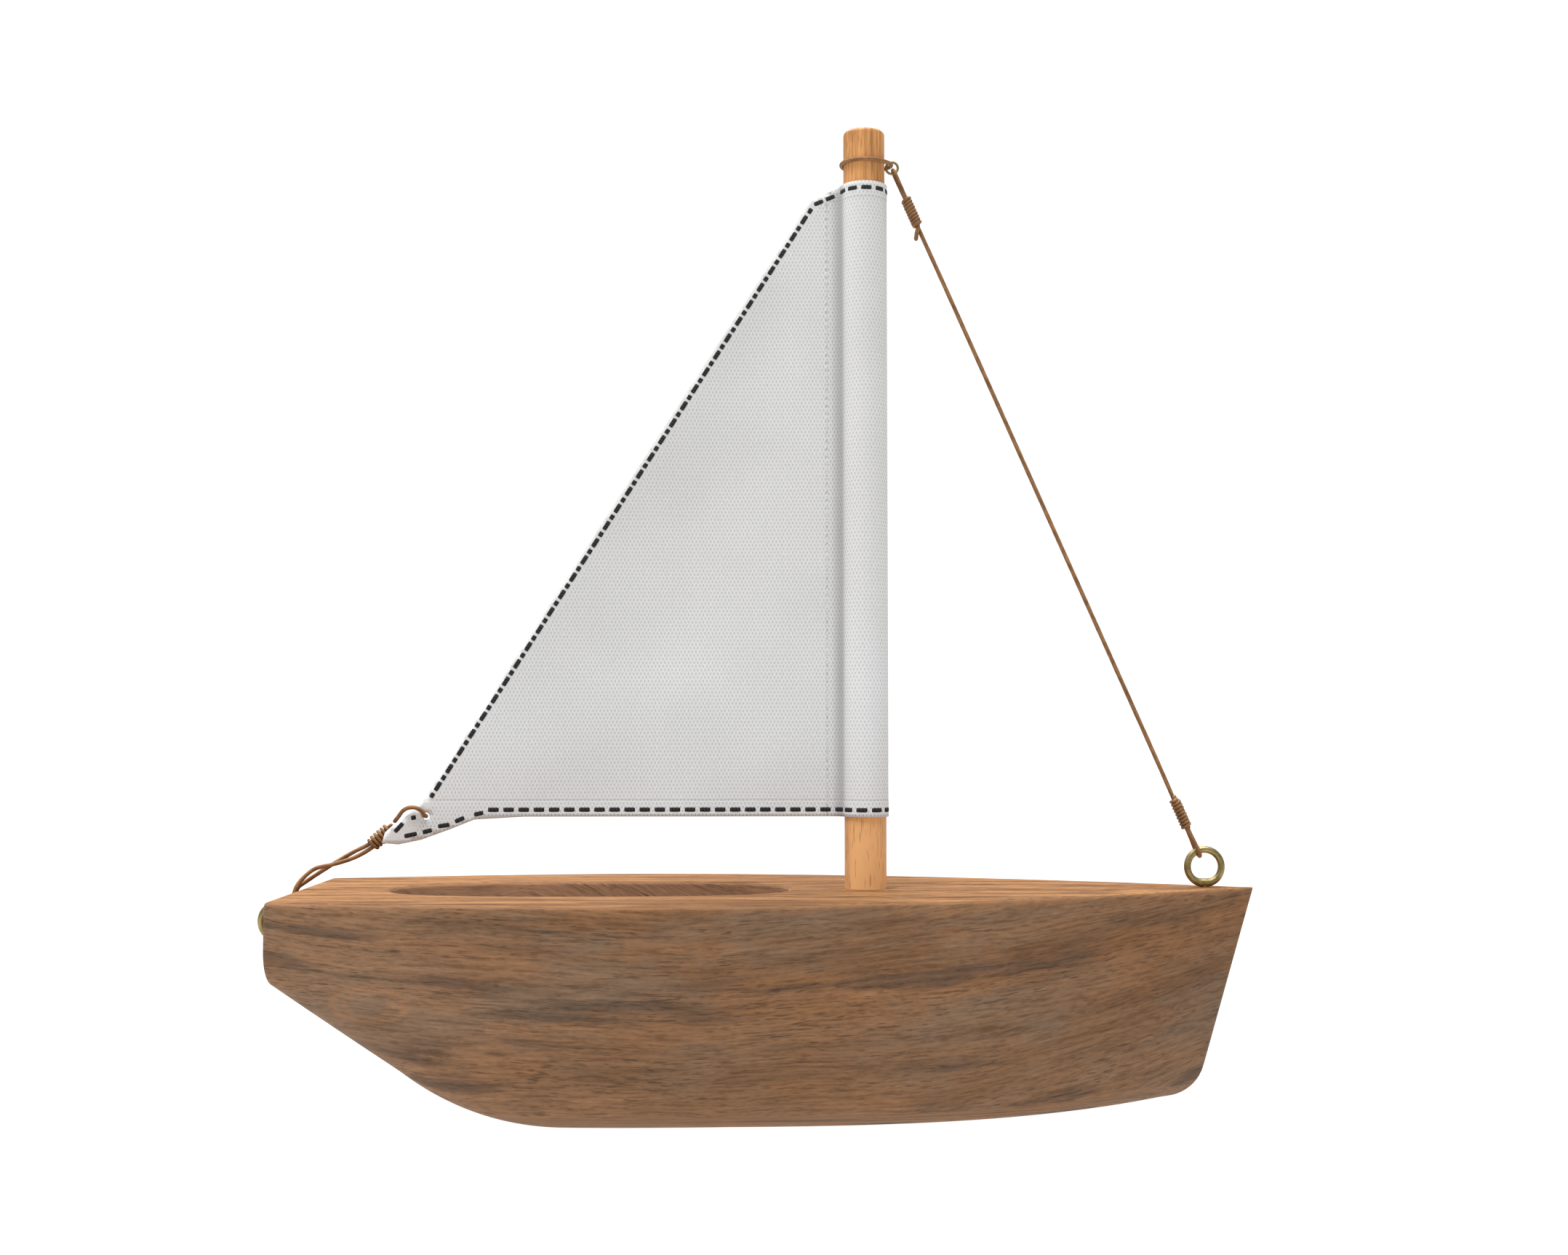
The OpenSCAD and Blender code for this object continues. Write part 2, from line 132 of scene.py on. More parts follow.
# The cloth's flat coordinates: t is x on the panel, and the distance round the mast beyond it; z is the height.
turn_r = 2.6                                            # radius of the bend between the panel and the sleeve
turn_x = -math.sqrt(sleeve_mid_r**2 + 2 * sleeve_mid_r * turn_r)
turn_a = math.asin(turn_r / (sleeve_mid_r + turn_r))
bend_len = turn_r * (math.pi / 2 - turn_a)
wrap_len = sleeve_mid_r * (2 * math.pi - 2 * turn_a)
lap_x = -13.2                                           # where the cloth's end lies behind the panel
lap_gap = 0.62                                          # and how far behind it
cloth_end = turn_x + 2 * bend_len + wrap_len + (turn_x - lap_x)
hem = 4.7
leech_way = (leech_high - leech_low) / np.linalg.norm(leech_high - leech_low)

# Cord and brass
cord_d = 1.2
wrap_d = 1.0
eye_d = 11.8
eye_wire = 2.0
eye_shank = 12.0
ring_d = 4.2
ring_wire = 0.7
eye_mean_r = (eye_d - eye_wire) / 2
ring_mean_r = (ring_d - ring_wire) / 2
bow_eye_c = np.array([bow_x - 14.0, deck_z + eye_d / 2])
stern_eye_c = np.array([stern_x - eye_d / 2, deck_z - 8.9])
strop_z = mast_top - 9.7
ring_c = np.array([mast_r + ring_d / 2 + 0.1, strop_z - 0.75])


# ---- camera

camera_at = (-0.03839, -0.52858, deck_z * MM + 0.04373)  # metres
camera_rise = 3.33                                       # degrees above level
camera_turn = 1.63                                       # degrees from square to the side, towards the bow
camera_lens = 42.27
camera_sensor = 36


def place_camera():
    """Camera a little above the deck on the starboard side, turned slightly to the bow and tipped slightly up."""
    lens = bpy.data.cameras.new("camera")
    lens.sensor_fit = "HORIZONTAL"
    lens.sensor_width = camera_sensor
    lens.lens = camera_lens
    lens.clip_start = 0.01
    lens.clip_end = 50
    camera = bpy.data.objects.new("camera", lens)
    bpy.context.collection.objects.link(camera)
    camera.location = camera_at
    camera.rotation_euler = (math.radians(90 + camera_rise), 0, math.radians(-camera_turn))
    bpy.context.scene.camera = camera


place_camera()


# ---- mesh making

def unit(v):
    """Vectors scaled to length one along their last axis."""
    v = np.asarray(v, float)
    return v / np.linalg.norm(v, axis=-1, keepdims=True)


def ease(x, low, high):
    """Smooth step from 0 at low to 1 at high: 3t^2 - 2t^3."""
    t = np.clip((np.asarray(x, float) - low) / (high - low), 0, 1)
    return t * t * (3 - 2 * t)


def lattice(rows, columns, close_rows=False, close_columns=False):
    """Quads of a grid of points, and each corner's row and column, counted past the last where it closes."""
    r, c = np.meshgrid(
        np.arange(rows - (not close_rows)), np.arange(columns - (not close_columns)), indexing="ij")
    around = ((r, c), (r, c + 1), (r + 1, c + 1), (r + 1, c))
    corners = np.stack([np.stack(p, -1) for p in around], 2).reshape(-1, 4, 2)
    return corners[..., 0] % rows * columns + corners[..., 1] % columns, corners


def shell(grids, along=None, close_rows=False):
    """Shells from grids of shape (count, rows, columns, 3), whose columns go once round each row.

    Rows either close on themselves, or end in a fan about the middle of the end row. Surface coordinates are the
    distance along the rows, and the share of the way round. Returns (points, faces, surface coordinates).
    """
    grids = np.asarray(grids, float)
    if grids.ndim == 3:
        grids = grids[None]
    count, rows, columns = grids.shape[:3]
    if along is None:
        middle = grids.mean(axis=2)
        steps = np.linalg.norm(np.diff(middle, axis=1), axis=2)
        along = np.concatenate([np.zeros((count, 1)), np.cumsum(steps, axis=1)], axis=1)
    along = np.concatenate([along, along[:, -1:] + (along[:, -1:] - along[:, -2:-1])], axis=1)
    quads, corners = lattice(rows, columns, close_rows, True)
    base = (np.arange(count) * rows * columns)[:, None, None]
    points = grids.reshape(-1, 3)
    faces = [(base + quads).reshape(-1, 4)]
    around = np.broadcast_to(corners[..., 1] / columns, (count,) + corners.shape[:2])
    uvs = [np.stack([along[:, corners[..., 0]], around], -1).reshape(-1, 4, 2)]
    if not close_rows:
        j = np.arange(columns)
        for row, turn in ((0, -1), (rows - 1, 1)):
            centre = len(points) + np.arange(count)
            points = np.concatenate([points, grids[:, row].mean(axis=1)])
            ring = base[:, 0] + row * columns + j
            pair = [ring, np.roll(ring, -1, axis=1)][::turn]
            faces.append(np.stack([np.broadcast_to(centre[:, None], ring.shape), *pair], -1).reshape(-1, 3))
            share = np.stack([(j + 0.5) / columns, *[j / columns, (j + 1) / columns][::turn]], -1)
            uv = np.stack([np.broadcast_to(along[:, row, None, None], (count, columns, 3)),
                           np.broadcast_to(share, (count, columns, 3))], -1)
            uvs.append(uv.reshape(-1, 3, 2))
    return points, faces, uvs


def joined(*shapes):
    """Several shapes as one."""
    points, faces, uvs, offset = [], [], [], 0
    for p, f, uv in shapes:
        points.append(p)
        faces += [a + offset for a in f]
        uvs += uv
        offset += len(p)
    return np.concatenate(points), faces, uvs


def piece(name, shape, slot, body=None, replaces=()):
    """Mesh object of a shape, with the finish of its slot; it rides on a body unless it is to be blended."""
    points, faces, uvs = shape
    mesh = bpy.data.meshes.new(name)
    mesh.from_pydata((points * MM).tolist(), [], [f for a in faces for f in a.tolist()])
    layer = mesh.uv_layers.new(name="surface")
    flat = np.concatenate([uv.reshape(-1, 2) for uv in uvs]).astype(np.float32).ravel()
    layer.data.foreach_set("uv", flat * MM)
    mesh.polygons.foreach_set("use_smooth", np.ones(len(mesh.polygons), bool))
    mesh.materials.append(finishes[slot])
    mesh.validate()
    mesh.update()
    obj = bpy.data.objects.new(name, mesh)
    bpy.context.collection.objects.link(obj)
    if replaces:
        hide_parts(*replaces)
    if body:
        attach(obj, body)
    return obj


def smooth_route(route, step):
    """Curve through a route's points, a cubic on each span with centripetal spacing, sampled about every step."""
    route = np.asarray(route, float)
    chord = np.linalg.norm(np.diff(route, axis=0), axis=1)
    knot = np.concatenate([[0], np.cumsum(np.sqrt(chord))])
    slope = np.gradient(route, knot, axis=0)
    length = np.concatenate([[0], np.cumsum(chord)])
    s = np.linspace(0, length[-1], int(length[-1] / step) + 1)
    u = np.interp(s, length, knot)
    i = np.clip(np.searchsorted(knot, u, side="right") - 1, 0, len(chord) - 1)
    h = (knot[i + 1] - knot[i])[:, None]
    w = (u - knot[i])[:, None] / h
    return ((2 * w**3 - 3 * w**2 + 1) * route[i] + (w**3 - 2 * w**2 + w) * h * slope[i]
            + (3 * w**2 - 2 * w**3) * route[i + 1] + (w**3 - w**2) * h * slope[i + 1])


def side_vectors(path, up, closed=False):
    """Two unit vectors square to a path at each point; the first starts near up and is carried on without twist."""
    ends = np.concatenate([path[-1:], path, path[:1]]) if closed else path
    t = unit(np.gradient(ends, axis=0))
    t = t[1:-1] if closed else t
    first = np.empty_like(t)
    u = np.asarray(up, float)
    for i, tangent in enumerate(t):
        u = unit(u - (u @ tangent) * tangent)
        first[i] = u
    return first, np.cross(t, first)


def tube(path, radius, up, sides=12, closed=False, squeeze=1.0):
    """Tube along a path: circles of that radius, square to the path; squeeze flattens them along up."""
    first, second = side_vectors(path, up, closed)
    a = 2 * np.pi * np.arange(sides) / sides
    radius = np.broadcast_to(np.asarray(radius, float), len(path))[:, None, None]
    ring = squeeze * np.cos(a)[:, None] * first[:, None] + np.sin(a)[:, None] * second[:, None]
    return shell(path[:, None] + radius * ring, close_rows=closed)


# ---- finishes

class Value:
    """A node's output. An operator on it adds the Math node that works it out."""

    def __init__(self, finish, socket):
        self.finish, self.socket = finish, socket

    def math(self, operation, *terms):
        return self.finish.node("ShaderNodeMath", {"operation": operation}, dict(enumerate(terms)))

    def __add__(self, other):
        return self.math("ADD", self, other)

    def __sub__(self, other):
        return self.math("SUBTRACT", self, other)

    def __rsub__(self, other):
        return self.math("SUBTRACT", other, self)

    def __mul__(self, other):
        return self.math("MULTIPLY", self, other)

    def __truediv__(self, other):
        return self.math("DIVIDE", self, other)

    __radd__, __rmul__ = __add__, __mul__

    def sine(self):
        return self.math("SINE", self)

    def step(self, low, high):
        """Smooth step from 0 at low to 1 at high."""
        return self.finish.node("ShaderNodeMapRange", {"interpolation_type": "SMOOTHSTEP"}, {
            "Value": self, "From Min": low, "From Max": high})


class Finish:
    """A material under a Principled shader; node() adds any other node."""

    def __init__(self, name, **constants):
        self.material = bpy.data.materials.new(name)
        self.material.use_nodes = True
        self.tree = self.material.node_tree
        self.tree.nodes.clear()
        output = self.tree.nodes.new("ShaderNodeOutputMaterial")
        self.shader = self.tree.nodes.new("ShaderNodeBsdfPrincipled")
        self.tree.links.new(self.shader.outputs[0], output.inputs["Surface"])
        self.set(**{key.replace("_", " "): value for key, value in constants.items()})

    def feed(self, socket, value):
        if isinstance(value, Value):
            self.tree.links.new(value.socket, socket)
        else:
            socket.default_value = value

    def set(self, **sockets):
        for key, value in sockets.items():
            self.feed(self.shader.inputs[key], value)

    def node(self, kind, settings=None, sockets=None, out=0):
        """A node of that type: its settings first, then the values or links of its sockets."""
        node = self.tree.nodes.new(kind)
        for key, value in (settings or {}).items():
            setattr(node, key, value)
        for key, value in (sockets or {}).items():
            self.feed(node.inputs[key], value)
        return Value(self, node.outputs[out])

    def place(self):
        return self.node("ShaderNodeTexCoord", out="Object")

    def surface(self):
        return self.node("ShaderNodeUVMap", {"uv_map": "surface"})

    def parts(self, vector):
        """The three numbers of a vector."""
        split = self.tree.nodes.new("ShaderNodeSeparateXYZ")
        self.feed(split.inputs[0], vector)
        return [Value(self, socket) for socket in split.outputs]

    def noise(self, vector, scale, detail=2.0, rough=0.5, shift=(0, 0, 0), out="Fac"):
        """Noise of a vector that is first stretched by scale along each axis and moved by shift."""
        moved = self.node("ShaderNodeMapping", None, {"Vector": vector, "Scale": scale, "Location": shift})
        return self.node("ShaderNodeTexNoise", None, {
            "Vector": moved, "Scale": 1.0, "Detail": detail, "Roughness": rough}, out)

    def mix(self, a, b, share, mode="MIX"):
        """Colour between a and b."""
        return self.node("ShaderNodeMix", {"data_type": "RGBA", "blend_type": mode}, {0: share, 6: a, 7: b}, 2)

    def coats(self, body, *coats):
        """A colour under further coats, each a colour, its share and, where it isn't a plain mix, its mode."""
        for coat in coats:
            body = self.mix(body, *coat)
        return body

    def bump(self, height, distance, strength=1.0):
        return self.node("ShaderNodeBump", None, {"Height": height, "Distance": distance, "Strength": strength})


def colour(red, green, blue):
    """Linear colour, with full alpha."""
    return (red, green, blue, 1.0)


def line_at(value, at, half):
    """A thin line where a value passes a level: 1 on it, 0 beyond half its width either side."""
    return (value - at + half * 2).step(0, half * 2) * (1 - (value - at).step(0, half * 2))


def wandering(f, place, stretch, reach):
    """A place moved a little by slow noise, so that grain wanders: place + (noise - 1/2) * reach."""
    shift = f.noise(place, stretch, out="Color")
    centred = f.node("ShaderNodeVectorMath", {"operation": "SUBTRACT"}, {0: shift, 1: (0.5, 0.5, 0.5)})
    return f.node("ShaderNodeVectorMath", {"operation": "MULTIPLY_ADD"}, {0: centred, 1: reach, 2: place})


def hull_wood():
    """Oiled brown hardwood. Its grain sweeps up towards the bow: height less 0.55 (x + 60 mm)^2, and follows the
    sides round. Along it lie soft bands, fine fibres, short dark pores and slim dark streaks, over grey and orange
    patches. The deck and a ragged band below its edge are paler and more orange; the cockpit is paler and greyer.
    Painted light makes the side paler towards the bottom, as bounce light from the floor, and paler and greyer
    towards the stern, as light from the left. A small knot, two ovals one in the other, lies on the side near the
    stern."""
    f = Finish("hull_wood", Specular_IOR_Level=0.12)
    place = f.place()
    x, y, z = f.parts(place)
    along, height = x * 1000, z * 1000
    deck = height.step(deck_z - 0.5, deck_z - 0.1)
    from_middle = (along - cockpit_x) / cockpit_half[0]
    aside = y * 1000 / cockpit_half[1]
    hollow = (1 - (from_middle * from_middle + aside * aside).step(1.0, 1.5)) * height.step(20, 30) * (1 - deck)
    wall = hollow * height.step(deck_z - cockpit_depth + 3, deck_z - cockpit_depth + 9)
    facing_up = deck + hollow - wall + (1 - height.step(1, 5))
    from_sweep = x + 0.06
    swept = f.node("ShaderNodeCombineXYZ", None, {
        "X": x, "Y": y * (facing_up * 0.93 + 0.07), "Z": z - from_sweep * from_sweep * 0.55 + wall * x * 0.5})
    swept = wandering(f, swept, (9, 26, 26), (0.0, 0.009, 0.009))
    warped = wandering(f, swept, (50, 130, 130), (0.0, 0.0016, 0.0016))
    bands = f.noise(warped, (9, 190, 190), 4.0, 0.6)
    fibre = f.noise(warped, (75, 1300, 1300), 4.0, 0.7)
    grain = f.noise(swept, (420, 1500, 1500), 2.0, 0.6)
    pores = f.noise(warped, (210, 2300, 2300), 1.0, 0.5).step(0.585, 0.68)
    crowd = f.noise(warped, (26, 170, 170), 2.0, 0.5, (0.2, 0, 0.4)).step(0.36, 0.62)
    streak = f.noise(warped, (13, 150, 150), 4.0, 0.6, (0.7, 0, 0.2))
    smoke = f.noise(swept, (13, 46, 46), 3.0, 0.6, (0.4, 0, 0.6))
    grey = f.noise(swept, (14, 40, 40), 4.0, 0.6, (0.3, 0, 0.1))
    warm = f.noise(swept, (17, 60, 60), 4.0, 0.6, (0.9, 0, 0.5))

    lines = f.noise(warped, (6, 210, 210), 6.0, 0.75, (0, 0.4, 0))
    ragged = f.noise(place, (150, 200, 420), 4.0, 0.65)

    edge = (height + ragged * 6.0).step(deck_z - 0.4, deck_z + 3.4)
    # Painted light: low is painted bounce light from the floor on the lower side, aft is painted light from the
    # left towards the stern
    low = 1 - height.step(4, 26)
    aft = 1 - along.step(stern_x + 20, stern_x + 90)
    across_knot = (along - knot[0]) / knot_half[0]
    up_knot = (height - knot[1] + ragged * 1.2) / knot_half[1]
    from_knot = across_knot * across_knot + up_knot * up_knot
    rings = line_at(from_knot, 1.0, 0.20) * 0.6 + line_at(from_knot, 0.45, 0.12) * 0.45
    dark = (streak * 0.66 + smoke * 0.34).step(0.53, 0.64)
    planed = f.mix(colour(0.100, 0.042, 0.015), colour(0.352, 0.171, 0.068), lines.step(0.35, 0.585))
    tone = fibre * 0.72 + grain * 0.28
    body = f.coats(
        f.mix(colour(0.180, 0.094, 0.047), colour(0.252, 0.134, 0.069), bands.step(0.38, 0.62)),
        (colour(0.215, 0.140, 0.090), grey.step(0.45, 0.62) * 0.78),
        (colour(0.290, 0.138, 0.060), warm.step(0.48, 0.64) * 0.62),
        # Painted light: paler near the bottom as bounce from the floor, then paler and greyer towards the stern as
        # light from the left
        (colour(0.330, 0.175, 0.088), low * 0.45),
        (colour(0.330, 0.205, 0.130), aft * 0.34),
        (colour(0.400, 0.235, 0.145), wall * 0.8),
        (colour(0.360, 0.180, 0.088), rings),
        (colour(0.190, 0.130, 0.085), (1 - from_knot.step(0.1, 0.5)) * 0.4),
        (colour(0.100, 0.066, 0.046), dark * 0.70 * (1 - deck * 0.8)),
        (colour(0.365, 0.180, 0.078), edge * (1 - deck) * 0.42),
        (planed, deck * 0.92 + (hollow - wall) * 0.85),
        (colour(0.62, 0.60, 0.58), 1 - tone.step(0.34, 0.56), "MULTIPLY"),
        (colour(1.30, 1.30, 1.28), tone.step(0.54, 0.68) * 0.7, "MULTIPLY"),
        (colour(0.060, 0.036, 0.022), pores * (0.16 + crowd * 0.44)))
    f.set(**{"Base Color": body, "Roughness": 0.55 + fibre * 0.25})
    f.set(Normal=f.bump(fibre * 0.5 - pores * 0.8 + grain * 0.2, 0.00010, 0.4))
    return f.material


def mast_wood():
    """Honey-coloured dowel: upright fibres and darker lines, short pores, paler patches low down, and painted shade
    darkening its after edge."""
    f = Finish("mast_wood", Specular_IOR_Level=0.3)
    place = f.place()
    warped = wandering(f, place, (60, 60, 9), (0.0012, 0.0012, 0.0))
    fibre = f.noise(warped, (1500, 1500, 45), 4.0, 0.7)
    lines = f.noise(warped, (620, 620, 13), 3.0, 0.6)
    flame = f.noise(place, (150, 150, 60), 3.0, 0.55)
    pores = f.noise(warped, (3000, 3000, 170), 1.0, 0.5).step(0.60, 0.70)
    x, _, z = f.parts(place)
    foot = 1 - (z * 1000).step(deck_z + 2, deck_z + 40)
    # Painted shade: a strip along the after edge of the dowel is darkened
    after = 1 - (x * 1000).step(-mast_r, -mast_r * 2 / 3)
    tone = fibre * 0.6 + lines * 0.5 + flame * (0.35 + foot * 0.8) - 0.22
    pale = f.mix(colour(0.80, 0.385, 0.136), colour(0.94, 0.53, 0.235), foot)
    body = f.coats(
        f.mix(colour(0.25, 0.092, 0.026), pale, tone.step(0.22, 0.72)),
        # painted shade on the after edge
        (colour(0.34, 0.150, 0.052), after * 0.42),
        (colour(0.20, 0.085, 0.028), pores * 0.5))
    f.set(**{"Base Color": body, "Roughness": 0.40 + fibre * 0.2})
    f.set(Normal=f.bump(fibre * 0.6 - pores, 0.00008, 0.5))
    return f.material


def canvas():
    """White cotton canvas. Staggered dimples of the weave: sin(t) sin(z), cut off low, 1.05 mm apart in rows
    1.06 mm apart. A plain band lies along the leech, a thin fold line beside the hems, needle marks down the
    sleeve's seam, and painted shade beside the mast, darkest where the cloth bends round to the sleeve."""
    f = Finish("canvas", Specular_IOR_Level=0.2, Sheen_Weight=0.1, Sheen_Roughness=0.5)
    t, z, _ = f.parts(f.surface())
    place = f.place()
    wobble = f.noise(place, (110, 110, 110), 2.0) * 1.2
    product = (t * (full_turn / 0.00105) + wobble).sine() * (z * (full_turn / 0.00212) + wobble * 0.7).sine()
    leech = (t - leech_low[0] * MM) * leech_way[1] - (z - leech_low[1] * MM) * leech_way[0]
    dimple = product.step(0.12, 0.85) * (0.25 + leech.step(0.0024, 0.0036) * 0.75)
    weft = f.noise(f.surface(), (2600, 900, 1), 2.0, 0.6)
    warp = f.noise(f.surface(), (900, 2600, 1), 2.0, 0.6)
    soft = f.noise(place, (30, 30, 30), 3.0, 0.5)
    fold = line_at(z, (foot_z + hem) * MM, 0.0003) + line_at(z, (head_z - hem) * MM, 0.0003)
    needle = line_at(t, seam_x * MM, 0.00024) * (z * (full_turn / 0.0021)).sine().step(-0.6, 0.1)
    from_turn = t / MM - turn_x
    # Painted shade beside the mast: a broad darkening where the cloth bends round to the sleeve, a darker narrow
    # band at the bend, and the weave's dimples darker there
    painted_valley_shade = from_turn.step(-4.0, 1.4) * (1 - from_turn.step(2.2, 7.0))
    painted_crease_shade = from_turn.step(-1.6, 1.9) * (1 - from_turn.step(2.2, 5.0))
    shade = weft * 0.35 + warp * 0.35 + soft * 0.3
    body = f.coats(
        f.mix(colour(0.632, 0.632, 0.624), colour(0.755, 0.755, 0.749), shade.step(0.3, 0.7)),
        # weave dimples, darkened more in the painted shade by the mast; then that painted shade and its darker band
        # at the bend
        (colour(0.36, 0.36, 0.355), dimple * (0.60 + painted_valley_shade * 0.35)),
        (colour(0.42, 0.42, 0.415), painted_valley_shade * 0.20),
        (colour(0.24, 0.24, 0.235), painted_crease_shade * (0.30 + soft * 0.5)),
        (colour(0.36, 0.36, 0.35), fold * 0.25 + needle * 0.75),
        (colour(1.10, 1.14, 1.175), 1 - z.step(foot_z * MM, (foot_z + 90) * MM), "MULTIPLY"))
    f.set(**{"Base Color": body, "Roughness": 0.85 + weft * 0.1})
    f.set(Normal=f.bump(weft * 0.3 + warp * 0.3 - dimple * 0.7 - fold * 0.5, 0.00010, 0.6))
    return f.material


def thread_finish(name, dark, light):
    """Sewing thread: two-ply twist, as slanting lines along the stitch."""
    f = Finish(name, Specular_IOR_Level=0.2)
    along, around, _ = f.parts(f.surface())
    twist = (along * (full_turn / 0.0009) + around * (full_turn * 1000)).sine() * 0.5 + 0.5
    fuzz = f.noise(f.place(), (3000, 3000, 3000), 2.0)
    tone = twist * 0.5 + fuzz * 0.6
    f.set(**{"Base Color": f.mix(dark, light, tone.step(0.1, 1.0)), "Roughness": 0.75 + fuzz * 0.2})
    f.set(Normal=f.bump(twist, 0.00006, 0.5))
    return f.material


def cord_finish(name, dark, light, lay_share):
    """Waxed leather cord: fine fibres along it, a slow twist, worn paler and stained deeper in patches."""
    f = Finish(name, Specular_IOR_Level=0.35)
    along, around, _ = f.parts(f.surface())
    lay = ((around * 3000 + along * (1 / 0.012)) * full_turn).sine() * 0.5 + 0.5
    fibre = f.noise(f.surface(), (450, 7000, 1), 3.0, 0.6)
    patch = f.noise(f.place(), (380, 380, 380), 3.0, 0.6)
    tone = lay * lay_share + fibre * 0.4 + patch * 0.7 - 0.1
    f.set(**{"Base Color": f.mix(dark, light, tone.step(0.15, 0.85)), "Roughness": 0.5 + patch * 0.25})
    f.set(Normal=f.bump(lay * lay_share + fibre * 0.5, 0.00005, 0.5))
    return f.material


def brass():
    """Dull olive brass, drawn lines along the wire, and brown tarnish in patches and specks."""
    f = Finish("brass", Metallic=1.0)
    place = f.place()
    drawn = f.noise(f.surface(), (250, 9000, 1), 2.0, 0.6)
    tarnish = f.noise(place, (300, 300, 300), 4.0, 0.65)
    specks = f.noise(place, (1600, 1600, 1600), 2.0, 0.5).step(0.58, 0.7)
    tone = tarnish * 0.8 + drawn * 0.3
    body = f.coats(
        f.mix(colour(0.43, 0.34, 0.155), colour(0.20, 0.155, 0.062), tone.step(0.35, 0.80)),
        (colour(0.10, 0.075, 0.035), specks * 0.35))
    f.set(**{"Base Color": body, "Roughness": 0.30 + tarnish * 0.3})
    f.set(Normal=f.bump(drawn * 0.5 + tarnish * 0.8, 0.00005, 0.5))
    return f.material


finishes = {
    "hull_wood": hull_wood(),
    "mast_wood": mast_wood(),
    "canvas": canvas(),
    "black_thread": thread_finish("black_thread", colour(0.012, 0.012, 0.013), colour(0.042, 0.042, 0.044)),
    "white_thread": thread_finish("white_thread", colour(0.52, 0.52, 0.51), colour(0.86, 0.86, 0.85)),
    "brass": brass(),
    "leather_cord": cord_finish("leather_cord", colour(0.110, 0.050, 0.017), colour(0.385, 0.188, 0.068), 0.12),
    "whipping_cord": cord_finish("whipping_cord", colour(0.115, 0.054, 0.019), colour(0.380, 0.190, 0.072), 0.04),
}


# ---- cords

stay_line = unit(bow_eye_c - ring_c)
stay_top = ring_c + ring_mean_r * stay_line
stay_end = bow_eye_c - eye_mean_r * stay_line
stay_len = np.linalg.norm(stay_end - stay_top)
stay_side = np.array([-stay_line[1], stay_line[0]])
strand = cord_d / 2 + 0.02
ring_clear = ring_wire / 2 + cord_d / 2 + 0.05
eye_clear = eye_wire / 2 + cord_d / 2 + 0.05
upper_whip = (8.2, 8.6)
lower_whip = (7.2, 9.0)


def on_stay(s, y, w=0):
    """A place on the forestay: s along it, y across it, w sideways towards the bow."""
    p = stay_top + s * stay_line + w * stay_side
    return [p[0], y, p[1]]


forestay_route = [on_stay(*p) for p in (
    (20.9, -strand - 0.4, -2.5), (18.9, -strand - 0.3, -1.3), (17, -strand, 0), (12, -strand), (8, -strand),
    (4, -0.8), (1.6, -ring_clear), (0.3, -ring_clear * 0.95), (-0.7, -ring_clear * 0.55), (-1, 0),
    (-0.7, ring_clear * 0.55), (0.3, ring_clear * 0.95), (1.6, ring_clear), (4, 0.8), (8, strand), (17, strand),
    (26, 0.3), (45, 0), (stay_len / 2, 0), (stay_len - 30, 0), (stay_len - 20, 0.3), (stay_len - 16, strand),
    (stay_len - 7.2, strand), (stay_len - 3.5, 1.1), (stay_len - 0.6, eye_clear),
    (stay_len + 0.9, eye_clear * 0.8), (stay_len + eye_clear, 0), (stay_len + 0.9, -eye_clear * 0.8),
    (stay_len - 0.6, -eye_clear), (stay_len - 3.5, -1.1), (stay_len - 7.2, -strand), (stay_len - 16, -strand),
    (stay_len - 17.4, -strand - 0.1, 0.3))]

sheet_whip_aft = leech_low + [-14.4, -12.2]
sheet_whip_fore = leech_low + [-9, -7.6]
whip_y = 2.3
sheet_line = unit(sheet_whip_fore - sheet_whip_aft)
sheet_side = np.array([-sheet_line[1], sheet_line[0]])
apart = cord_d / 2 + 0.05


def on_sheet(s, y, w):
    """A place on the mainsheet's whipping: s from its after end towards the clew, w square to it, upwards."""
    p = sheet_whip_aft + s * sheet_line + w * sheet_side
    return [p[0], y, p[1]]


transom_top = (stern_x, deck_z)


def near(corner, *places):
    """Places given from a corner in the middle plane: forward, to port and up."""
    return [[corner[0] + dx, y, corner[1] + dz] for dx, y, dz in places]


mainsheet_route = [
    *[on_sheet(*p) for p in ((8.2, whip_y, apart), (4, whip_y, apart), (-0.5, whip_y, apart),
        (-5.2, whip_y - 0.2, apart + 1.1), (-11.6, apart * 2 + 0.2, apart + 2.2))],
    *near(transom_top, (4.4, apart + 0.2, 4.1), (1.6, apart + 0.2, 2.2), (-0.7, apart + 0.3, 0.5)),
    *near(stern_eye_c, (4.3, 1.2, 7.4), (3.3, eye_clear, 5.6), (2.3, eye_clear, 4), (1.7, 1.1, 3),
        (1.55, 0, 2.75), (1.7, -1.1, 3), (2.3, -eye_clear, 4), (3.3, -eye_clear, 5.6), (4.3, -1.2, 7.4)),
    *near(transom_top, (-0.8, -apart - 0.2, 0.8), (1, -apart - 0.2, 3.2), (4.4, -apart - 0.1, 5.9)),
    *[on_sheet(*p) for p in ((-11.6, -0.1, apart + 2.1), (-5.6, whip_y - apart - 0.2, -apart + 0.9),
        (-0.5, whip_y, -apart), (4, whip_y, -apart), (7.6, whip_y - 0.2, -apart))],
    *near(leech_low, (-3, 1.3, -4.8), (0, 1.2, -4), (1, 0.8, -4), (1.3, 0, -4), (1, -0.9, -3.7),
        (0.2, -1.5, -2.4), (-1.6, -1.7, -1.5), (-3.6, -1.3, -1.6), (-5.4, 0, -2.6), (-6.6, 1.2, -4),
        (-8.4, whip_y + 2.6 * apart, -5.8)),
]


